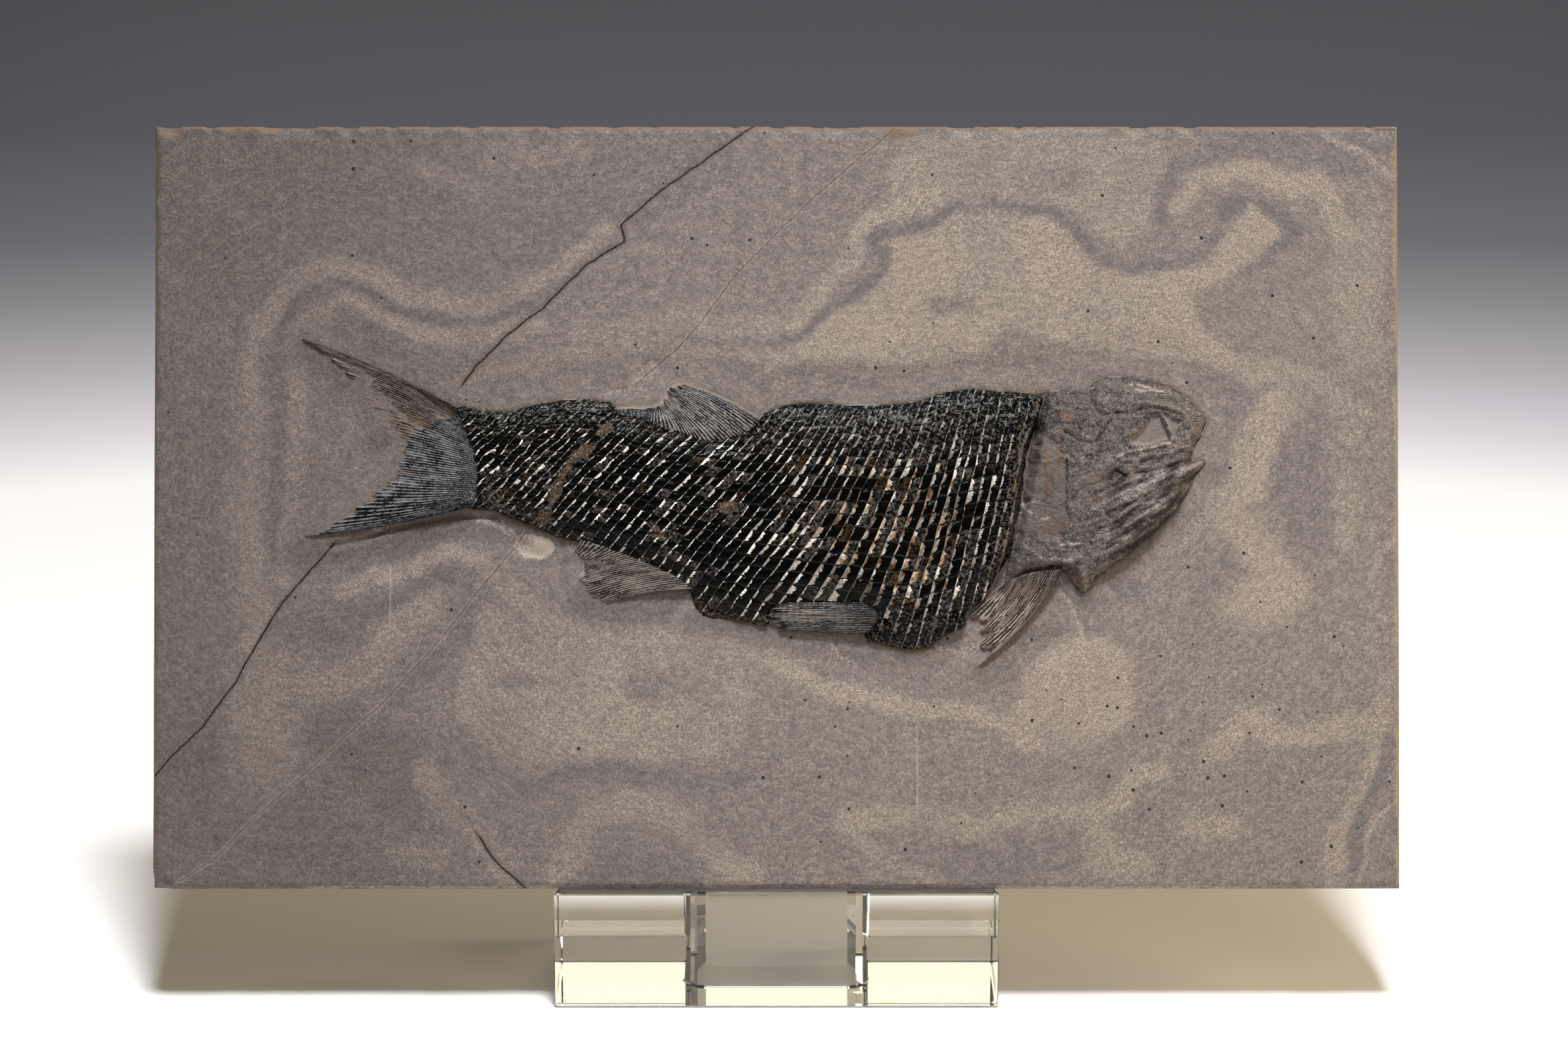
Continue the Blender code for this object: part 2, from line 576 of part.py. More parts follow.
def build():
    clear_scene()
    parts = new_collection("fossil_fish_on_easel")
    cutters = new_collection("cutters")
    cutters.hide_render = True
    face = bpy.data.objects.new("slab_face", None)
    parts.objects.link(face)
    face.location = (0.0, SLAB_FOOT_Y * MM, SLAB_FOOT_Z * MM)
    face.rotation_euler = (math.pi / 2 - LEAN, 0.0, 0.0)
    bpy.context.view_layer.update()

    slab = matrix_slab(parts, cutters, face)
    scale_coat(parts, cutters, face)
    skull(parts, cutters, face)
    outlines = {"scale_coat": coat_outline(), "skull": skull_outline()}
    for fin in make_fins():
        fin.build(parts, face)
        outlines[fin.name] = fin.outline()
    cut(slab, halo_cutter(cutters, face))
    cut(slab, as_cutter(prism("tail_wall", TAIL_WALL, -TAIL_WALL_DEPTH, OVER_STONE, cutters, face)))
    for name, outline in outlines.items():
        cut(slab, as_cutter(prism(name + "_bed", grown(outline, GAP), BED_FLOOR, OVER_FISH, cutters, face)))
    acrylic_easel(parts, cutters)


build()
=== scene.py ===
"""The fossil fish on its easel, dressed: banded limestone, enamelled scales, skull, fin rays, clear easel.

The fish and the stone are drawn on the slab's face in millimetres: a runs to the right from the slab's
middle, b runs up from its lower edge, and n stands out of the face.
"""

import math

import bmesh
import bpy
import numpy as np
from mathutils import Matrix, Vector


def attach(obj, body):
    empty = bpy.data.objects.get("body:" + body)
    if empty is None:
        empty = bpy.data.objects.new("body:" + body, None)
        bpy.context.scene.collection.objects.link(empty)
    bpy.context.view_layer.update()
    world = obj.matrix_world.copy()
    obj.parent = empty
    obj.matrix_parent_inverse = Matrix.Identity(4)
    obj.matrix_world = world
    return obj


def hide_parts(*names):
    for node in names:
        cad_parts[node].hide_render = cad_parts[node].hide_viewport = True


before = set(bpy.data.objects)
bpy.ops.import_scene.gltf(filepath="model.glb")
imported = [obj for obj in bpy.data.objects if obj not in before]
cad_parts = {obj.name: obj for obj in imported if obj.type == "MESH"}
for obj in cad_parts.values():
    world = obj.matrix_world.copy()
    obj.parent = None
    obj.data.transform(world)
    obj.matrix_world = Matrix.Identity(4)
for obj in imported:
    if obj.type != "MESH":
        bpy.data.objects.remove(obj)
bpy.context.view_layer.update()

bl_info = {
    "name": "Fossil fish on an easel",
    "version": (1, 0, 0),
    "blender": (4, 5, 0),
    "location": "View3D > Sidebar > Fossil",
    "description": "Models a ganoid fish in its limestone slab, on a clear easel, round the packed solids",
    "category": "Object",
}

MM = 0.001
LEAN = math.radians(15)
SLAB_WIDTH = 160.0
SLAB_HEIGHT = 98.0
SLAB_THICKNESS = 11.0
SLAB_ARRIS = 0.7
EASEL_EDGE = 0.5
EASEL_FRONT_HEIGHT = 15.5
GAP = 0.3
WHOLE_DEPTH = EASEL_EDGE + (SLAB_HEIGHT - SLAB_ARRIS / 2) * math.sin(LEAN) + SLAB_THICKNESS * math.cos(LEAN)
SLAB_FOOT = Vector((0.0, EASEL_EDGE - WHOLE_DEPTH / 2, EASEL_FRONT_HEIGHT + GAP / math.cos(LEAN)))
# Turns millimetres on the slab's face to metres in the frame
FACE = (Matrix.Translation(SLAB_FOOT * MM) @ Matrix.Rotation(math.pi / 2 - LEAN, 4, "X")
        @ Matrix.Scale(MM, 4))

# The fish's edges on the face
TAIL_ROOT = [(-40.8, 61.6), (-40.0, 59.0), (-38.8, 56.0), (-38.3, 53.0), (-38.7, 50.4), (-39.2, 49.0)]
BELLY_REAR = [(-36.6, 48.9), (-33.8, 47.6), (-31.0, 46.5), (-27.6, 45.2)]
ANAL_BASE = [(-25.2, 44.8), (-21.5, 43.6), (-18.4, 42.4), (-15.2, 41.1), (-12.8, 39.9), (-11.0, 38.4)]
BELLY_MIDDLE = [(-10.2, 36.0), (-8.6, 34.9), (-4.1, 34.4), (-1.3, 33.9)]
PELVIC_EDGE = [(-1.2, 35.0), (-0.3, 36.6), (6.0, 36.9), (10.8, 36.8), (12.7, 35.9), (13.1, 34.6),
               (11.6, 32.3)]
BELLY_FRONT = [(13.2, 31.7), (15.5, 31.0), (17.9, 30.8), (19.7, 31.1), (21.0, 32.2), (22.5, 33.2),
               (24.0, 34.0)]
PECTORAL_EDGE = [(24.0, 35.6), (26.3, 37.2), (26.9, 38.4)]
SHOULDER = [(27.2, 40.4), (29.1, 43.6), (30.0, 46.5), (30.5, 50.0), (30.7, 53.0), (31.0, 56.0),
            (32.2, 59.0), (33.6, 61.5), (34.0, 63.4)]
BACK_FRONT = [(34.0, 63.4), (32.8, 63.3), (30.0, 63.6), (26.4, 63.9), (23.3, 63.9), (20.4, 63.2),
              (18.4, 62.5), (16.1, 62.1), (10.0, 61.9), (3.1, 62.2), (0.2, 61.5), (-1.3, 60.7)]
DORSAL_BASE = [(-2.2, 60.1), (-4.0, 58.8), (-6.1, 57.8), (-9.5, 57.6), (-12.6, 58.7), (-15.8, 59.5),
               (-17.4, 60.4), (-20.3, 60.8)]
BACK_REAR = [(-21.4, 62.1), (-25.3, 62.7), (-29.6, 62.3), (-32.4, 61.7), (-35.2, 61.0), (-38.0, 61.2)]
HEAD_PROFILE = [(34.4, 63.6), (37.4, 63.8), (40.0, 63.4), (40.6, 64.7), (42.8, 65.5), (46.9, 65.2),
                (50.5, 64.3), (53.1, 62.7), (54.3, 61.2), (55.3, 60.1), (54.4, 58.0), (53.4, 56.0),
                (53.4, 54.5), (55.3, 55.2), (53.9, 53.2), (52.6, 50.8), (50.3, 47.7), (47.4, 44.9),
                (44.1, 42.4), (40.9, 40.0), (40.3, 38.7), (39.4, 38.1), (38.7, 38.6), (37.6, 40.2),
                (36.6, 41.0), (32.3, 40.4), (29.4, 39.5), (27.6, 38.8)]
COAT_OUTLINE = (TAIL_ROOT + BELLY_REAR + ANAL_BASE + BELLY_MIDDLE + PELVIC_EDGE + BELLY_FRONT
                + PECTORAL_EDGE + SHOULDER + BACK_FRONT[1:] + DORSAL_BASE + BACK_REAR)
SKULL_OUTLINE = list(reversed(HEAD_PROFILE[:-1])) + list(reversed(SHOULDER)) + [(34.2, 63.5)]

# The flow of the scale rows
BELLY_LINE = [(-52.0, 47.0), (-38.0, 48.8), (-31.0, 46.5), (-20.0, 42.0), (-11.0, 37.2), (-4.0, 34.4),
              (4.0, 32.6), (17.9, 30.8), (25.0, 33.0), (40.0, 36.0)]
BACK_LINE = [(-52.0, 64.0), (-41.0, 61.9), (-35.2, 61.0), (-25.3, 62.7), (-12.0, 62.0), (3.1, 62.2),
             (16.1, 62.1), (26.4, 63.9), (40.0, 63.6)]
ROW_CLIMB = [(-45.0, (44, 43, 42)), (-30.0, (49, 46, 41)), (-10.0, (55, 46, 39)), (0.0, (54, 50, 52)),
             (10.0, (62, 63, 64)), (16.0, (74, 69, 65)), (25.0, (76, 77, 76))]
ROW_SPACING = [(-48.0, 1.2), (-34.0, 1.3), (-27.0, 1.18), (-20.0, 1.32), (-5.0, 1.4), (16.0, 1.55),
               (25.0, 1.38), (32.0, 1.0)]
SLOPE_REACH = 3.0
FIRST_ROW = -49.0
LAST_ROW = 34.0
BODY_SWELL = [(-45.0, 0.9), (-30.0, 1.3), (-10.0, 1.9), (12.0, 2.2), (28.0, 2.1), (36.0, 1.9)]
# The joints between the scales of a row, as parts of the way from the belly to the back
SCALE_JOINTS = [-0.05, 0.005, 0.055, 0.105, 0.155, 0.205, 0.258, 0.312, 0.367, 0.422, 0.477, 0.532, 0.587,
                0.64, 0.69, 0.735, 0.775, 0.81, 0.842, 0.872, 0.902, 0.93, 0.956, 0.98, 1.04]
# A scale's profile from its tailward edge to its headward one, and the dip at its joints
STEP_PLACES = [0.0, 0.09, 0.22, 0.34, 0.66, 0.93]
STEP_HEIGHTS = [0.0, 0.55, 1.0, 1.08, 0.7, 0.3]
JOINT_PLACES = [0.0, 0.12, 0.5, 0.88]
JOINT_HEIGHTS = [-1.0, 0.0, 0.25, 0.0]

# The ground dug away around the fish
HALO = [(-62.5, 71.5), (-59.5, 67.5), (-55.5, 63.5), (-53.5, 60.0), (-52.0, 56.5), (-52.5, 53.5),
        (-55.0, 51.5), (-59.0, 49.0), (-63.0, 46.5), (-63.0, 43.5), (-57.0, 42.3), (-50.0, 43.5),
        (-43.0, 45.3), (-36.0, 45.5), (-31.0, 43.8), (-28.0, 42.0), (-27.8, 38.5), (-25.5, 35.8),
        (-21.0, 34.6), (-14.0, 34.8), (-9.0, 32.6), (-3.0, 31.3), (4.0, 30.3), (12.0, 29.0), (18.0, 28.4),
        (22.5, 29.5), (24.0, 27.5), (27.5, 26.5), (31.0, 29.0), (35.0, 33.0), (38.0, 36.0), (41.0, 36.0),
        (43.5, 38.8), (48.0, 42.5), (52.0, 46.5), (55.5, 51.5), (57.6, 55.5), (57.8, 60.5), (55.8, 64.0),
        (51.5, 67.0), (46.0, 68.0), (40.5, 67.5), (37.0, 66.2), (30.0, 66.0), (22.0, 66.0), (16.0, 64.6),
        (4.0, 64.8), (-2.0, 63.9), (-7.0, 66.0), (-12.0, 67.2), (-16.5, 66.2), (-18.0, 64.6), (-26.0, 65.0),
        (-33.0, 64.0), (-38.0, 63.4), (-44.0, 64.5), (-49.0, 67.0), (-54.0, 70.5), (-60.0, 72.8)]
HALO_FLOOR = -0.55
HALO_RIM = 4.5
# How deep in the stone the fish's pieces end, how deep their sides go, and the height at their rims
FISH_FLOOR = -2.5
FISH_SUNK = -1.6
FISH_RIM = -0.35
# How steeply the sides go down
SIDE_DROP = 3.2
# The number for a place with no crack near it
FAR = 6.0
# The stone's mesh is finer between these heights, where the fish lies
FISH_BAND = (27.0, 72.5)
FINE_STEP = 0.36
COARSE_STEP = 0.55
EDGE_STEPS = [0.0, 0.12, 0.3, 0.6]
# How wide the slab's edge bands are: at the sides, and at the top and the bottom
SIDE_BAND = 0.95
END_BAND = 1.1
# Where the sawn sides begin behind the worn front edges, and how far the rear edges are worn
SAWN_FROM = -2.6
REAR_WEAR = 0.35
# The skull's mesh: where it starts, where it ends and its spacing
SKULL_LOW = (26.4, 37.2)
SKULL_HIGH = (56.6, 66.4)
SKULL_STEP = 0.165
# The skull's dome: its middle, how far it reaches each way, and the heights at its foot and above it
SKULL_MIDDLE = (39.5, 52.2)
SKULL_REACH = (18.5, 15.5)
SKULL_FOOT = -0.2
SKULL_RISE = 2.4
# The fins' grids: their rows, and where they start under the body and end past the tips, in ray lengths
FIN_ROWS = 34
FIN_START = -0.08
FIN_END = 1.04
# How far the outermost columns stand past the rays, in fin widths and then in millimetres
FIN_PAST = 0.02
FIN_SIDE = 0.35
# The shader's patterns in millimetres: bedding lines, saw marks and the cells that may hold a pit
BEDDING_SPACING = 1.2
SAW_SPACING = 1.4
PIT_CELL = 1 / 0.55
# The camera and the floor
LENS = 89.4
SENSOR_WIDTH = 36.0
CAMERA_DISTANCE = 0.5
CAMERA_ELEVATION = math.radians(13.8)
CAMERA_TARGET = (0.98, 47.3, 0.0)
FLOOR_HALF_WIDTH = 4.0
FLOOR_DROP = 0.2 * MM

# The open crack in its runs, and the old crack that a paler stone has filled
OPEN_CRACK = [
    [(-2.4, 98.5), (-8.2, 94.4), (-15.4, 89.3), (-20.0, 85.2)],
    [(-20.0, 85.2), (-19.5, 83.1), (-24.6, 80.0), (-29.7, 74.9), (-34.9, 70.8), (-38.5, 67.2),
     (-40.5, 64.7)],
    [(-56.9, 44.2), (-63.6, 36.5), (-69.7, 26.2), (-73.8, 20.6), (-78.0, 16.5), (-80.5, 13.5)],
    [(-38.0, 6.5), (-36.5, 4.0), (-32.3, 0.2)],
]
FILLED_CRACK = [
    [(15.6, 98.0), (8.2, 91.8), (1.0, 85.2), (-5.1, 79.0), (-9.2, 73.4), (-13.3, 68.8), (-18.4, 64.5)],
    [(-31.5, 46.5), (-38.0, 38.5), (-44.1, 30.8), (-50.8, 23.6), (-58.0, 17.0), (-66.7, 9.3), (-72.3, 3.6),
     (-76.5, 1.0)],
]
HAIRLINES = [[(-49.9, 46.5), (-49.5, 38.0), (-49.9, 28.0)], [(17.9, 30.0), (18.1, 14.0), (17.8, 0.0)],
             [(17.7, 63.4), (17.9, 71.5)], [(-30.5, 35.0), (-27.0, 31.5)], [(-20.3, 85.0), (-17.0, 90.5)]]
# Pale bruises where a tool or a knock took the stone's skin off: a line and how wide it is
BRUISES = [([(7.0, 31.5), (8.0, 30.0), (10.2, 28.9)], 0.6),
           ([(36.6, 38.1), (38.6, 35.2), (39.6, 31.6)], 0.5), ([(-18.3, 65.3), (-15.8, 67.4)], 0.9),
           ([(45.2, 36.0), (45.3, 36.4)], 0.35), ([(-14.6, 88.4), (-14.4, 88.9)], 0.3),
           ([(75.0, 97.4), (79.5, 97.2)], 0.5), ([(-22.0, 63.6), (-17.0, 64.4)], 0.45),
           ([(-38.4, 47.6), (-35.4, 46.6), (-34.2, 45.8)], 0.8),
           ([(20.2, 31.4), (23.5, 30.2), (26.5, 31.6)], 0.6), ([(-52.0, 46.0), (-49.0, 45.6)], 0.35),
           ([(-60.0, 0.2), (60.0, 0.2)], 0.3)]
# The chip below the tail
SCAR = (-31.2, 43.9)
# Iron stain: along the sawn edges and at the open crack's end, as a line and how wide it is
RUST = [([(-79.8, 2.0), (-79.8, 97.6)], 0.2), ([(79.8, 2.0), (79.8, 97.6)], 0.2),
        ([(-79.0, 97.8), (79.0, 97.8)], 0.2), ([(-79.0, 96.9), (-77.0, 96.6)], 0.6),
        ([(-71.0, 97.4), (-65.0, 97.4)], 0.5), ([(14.6, 97.2), (17.4, 97.6)], 1.0),
        ([(-40.6, 64.9), (-38.9, 66.2), (-36.2, 69.3)], 0.26), ([(-60.2, 54.6), (-60.0, 54.8)], 0.4)]
MATRIX_BAND = [(-20.5, 61.8), (-22.0, 58.6), (-23.5, 56.8), (-25.0, 55.8), (-26.5, 54.6), (-28.0, 52.0),
               (-29.0, 49.0), (-30.5, 47.0)]
ORBIT = [(48.2, 60.7), (49.5, 61.1), (50.8, 60.3), (52.0, 59.8), (51.5, 59.0), (51.2, 57.9), (49.7, 57.3),
         (47.7, 56.9), (45.6, 56.8), (45.6, 58.0), (46.9, 59.0), (47.7, 60.0)]

# Where no wall shows behind the tail's fork, and the groove under its lower lobe
TAIL_NOTCH = [(-48.6, 54.2), (-49.8, 52.3), (-53.5, 49.5), (-58.4, 45.9), (-61.5, 45.0)]
TAIL_FOOT = [(-57.0, 43.9), (-53.0, 44.9), (-49.5, 46.3), (-45.0, 47.2), (-40.8, 48.0), (-36.5, 47.6)]
# The tail's upper lobe, of which only strands are left on the stone, and where its lower lobe is whole
TORN_LOBE = [(-62.0, 72.0), (-40.6, 63.0), (-40.8, 60.6), (-42.9, 59.9), (-45.0, 58.9), (-47.1, 58.2),
             (-47.9, 55.0), (-50.0, 54.5), (-62.0, 60.0)]
SECOND_STRAND = [(-59.3, 69.4), (-57.2, 68.1), (-54.6, 65.9)]
LOBE_HOLE = [(-53.2, 65.2), (-51.6, 66.3)]
LOWER_LOBE = [(-48.0, 53.0), (-50.0, 51.8), (-52.3, 50.2), (-54.3, 49.3), (-56.6, 47.6), (-58.6, 46.7),
              (-62.0, 44.0), (-36.0, 44.0), (-36.0, 53.0)]

# The skull's bones as lines on the face: how wide, how high (or deep, below nothing), and where
BONES = [
    (0.14, 0.14, [(40.0, 64.3), (41.6, 65.0), (43.6, 64.9), (45.5, 64.6), (47.5, 64.4), (49.4, 63.9)]),
    (0.30, 0.28, [(44.6, 63.7), (47.5, 63.9), (49.8, 63.9), (51.6, 62.8)]),
    (0.35, -0.35, [(40.4, 62.5), (41.6, 60.9), (44.6, 61.1), (48.5, 61.7), (52.0, 60.7)]),
    (0.5, 0.3, [(41.6, 62.7), (45.5, 62.5), (48.7, 62.2), (51.4, 61.5)]),
    (0.3, 0.25, [(42.0, 60.0), (44.5, 60.3), (46.9, 60.6)]),
    (0.17, 1.1, [(49.3, 61.0), (49.9, 59.8), (50.5, 58.3)]),
    (0.3, 0.5, [(43.6, 55.4), (45.5, 56.0), (47.5, 56.4), (50.4, 57.2)]),
    (0.22, 0.25, [(45.3, 56.8), (47.5, 57.0), (50.0, 57.6)]),
    (0.25, 0.35, [(44.2, 54.8), (49.1, 55.8), (52.4, 56.6)]),
    (0.2, -0.25, [(44.7, 54.4), (49.4, 55.2), (52.8, 56.2)]),
    (0.25, 0.3, [(45.1, 53.6), (49.4, 54.5), (53.0, 55.6)]),
    (0.25, -0.4, [(43.6, 53.5), (44.9, 53.1), (49.4, 53.9), (53.2, 55.2)]),
    (0.5, 0.35, [(40.6, 48.8), (45.5, 51.1), (50.4, 53.1), (54.4, 54.6)]),
    (0.25, -0.22, [(39.7, 47.2), (45.5, 49.5), (51.4, 52.7)]),
    (0.4, 0.32, [(39.7, 46.6), (45.5, 48.8), (51.0, 51.3)]),
    (0.25, -0.22, [(40.0, 45.6), (45.5, 47.8), (49.8, 50.1)]),
    (0.4, 0.3, [(40.4, 44.6), (44.5, 46.4), (48.7, 49.0)]),
    (0.25, -0.22, [(40.6, 43.7), (43.6, 44.8), (47.1, 47.2)]),
    (0.4, 0.28, [(40.4, 42.3), (42.8, 43.5), (45.1, 45.2)]),
    (0.2, -0.35, [(37.7, 49.7), (38.9, 51.3), (41.6, 52.3), (43.6, 53.5)]),
    (0.25, 0.2, [(38.2, 51.9), (40.0, 52.9), (41.5, 53.2)]),
    (0.2, -0.5, [(37.2, 55.0), (37.1, 49.7), (37.5, 47.2)]),
    (0.3, 0.3, [(34.4, 54.6), (35.7, 55.2), (36.7, 55.4), (37.7, 54.8)]),
    (0.22, -0.38, [(36.9, 58.6), (38.9, 57.4), (40.4, 57.1), (41.2, 57.8), (42.0, 58.9), (42.8, 60.1)]),
    (0.3, 0.25, [(37.2, 59.2), (39.0, 58.2), (40.4, 57.8)]),
    (0.22, -0.25, [(36.3, 59.7), (36.9, 58.6), (36.5, 57.0), (36.7, 55.4)]),
    (0.3, 0.25, [(33.4, 60.1), (34.6, 61.1), (36.3, 61.7), (38.1, 61.3)]),
    (0.2, 0.32, [(38.3, 61.6), (40.2, 61.9)]),
    (0.22, 0.16, [(31.6, 49.7), (34.4, 49.3)]),
    (0.2, 0.16, [(35.1, 49.3), (36.7, 48.6)]),
    (0.25, 0.32, [(36.1, 44.1), (38.9, 44.3)]),
    (0.3, 0.3, [(35.1, 43.5), (37.7, 43.5)]),
    (0.35, 0.4, [(35.3, 42.2), (36.5, 41.9), (37.8, 42.2), (39.0, 42.4)]),
    (0.5, 0.22, [(30.3, 50.7), (30.2, 47.8), (31.0, 44.8), (32.8, 42.9), (36.3, 41.3)]),
    (0.22, -0.2, [(31.6, 52.0), (31.5, 47.6), (32.6, 45.0), (34.6, 43.6)]),
    (0.3, -0.4, [(43.6, 53.5), (44.7, 52.9)]),
    (0.45, 0.3, [(39.6, 49.6), (39.8, 49.7)]),
    (0.22, 0.25, [(45.3, 56.8), (44.7, 56.2), (44.0, 55.8)]),
    (0.2, 0.25, [(40.6, 57.0), (40.7, 54.9)]),
    (0.25, 0.2, [(38.9, 55.5), (39.2, 53.6)]),
    (0.2, -0.22, [(34.4, 54.6), (34.4, 50.2)]),
    (0.25, 0.2, [(41.5, 58.0), (43.4, 57.2), (45.0, 58.4)]),
    (0.2, -0.25, [(40.2, 50.4), (43.0, 51.6), (46.0, 53.0)]),
    (0.3, 0.25, [(52.6, 58.0), (53.2, 57.0), (52.8, 56.4)]),
]
CHEEK_PLATES = [
    [(31.5, 51.5), (31.8, 55.5), (34.0, 58.2), (36.2, 56.8), (36.9, 54.5), (36.9, 49.5), (34.0, 50.0)],
    [(30.9, 49.0), (33.5, 49.4), (37.0, 48.6), (37.2, 46.2), (34.5, 44.6), (31.8, 45.6)],
    [(38.5, 52.8), (41.5, 53.6), (43.2, 54.6), (42.5, 52.6), (39.5, 50.8), (38.2, 50.9)]]
VEINS = [[(34.6, 55.6), (34.4, 53.6), (34.9, 51.2)], [(35.9, 57.0), (36.2, 54.5)],
         [(40.3, 50.4), (41.0, 49.4)], [(36.3, 61.0), (37.6, 60.2)], [(35.4, 45.4), (36.6, 46.4)],
         [(38.4, 40.6), (39.2, 39.0)]]
CHALK = [([(30.3, 51.3), (31.3, 50.2), (32.0, 49.1)], 0.35),
         ([(32.0, 49.0), (33.4, 47.4), (36.1, 48.0)], 0.12), ([(31.6, 49.7), (34.4, 49.3)], 0.12),
         ([(35.1, 49.3), (36.7, 48.6)], 0.14), ([(44.0, 55.5), (47.5, 56.4), (50.4, 57.2)], 0.16),
         ([(40.2, 64.2), (43.6, 64.9), (48.5, 64.2)], 0.1), ([(35.4, 42.2), (37.6, 42.1)], 0.22),
         ([(36.3, 44.1), (38.6, 44.3)], 0.14), ([(46.0, 63.8), (49.6, 63.9)], 0.14)]

# How dark the stone is between its layers, and close round the fish
PLAIN_TONE = -0.15
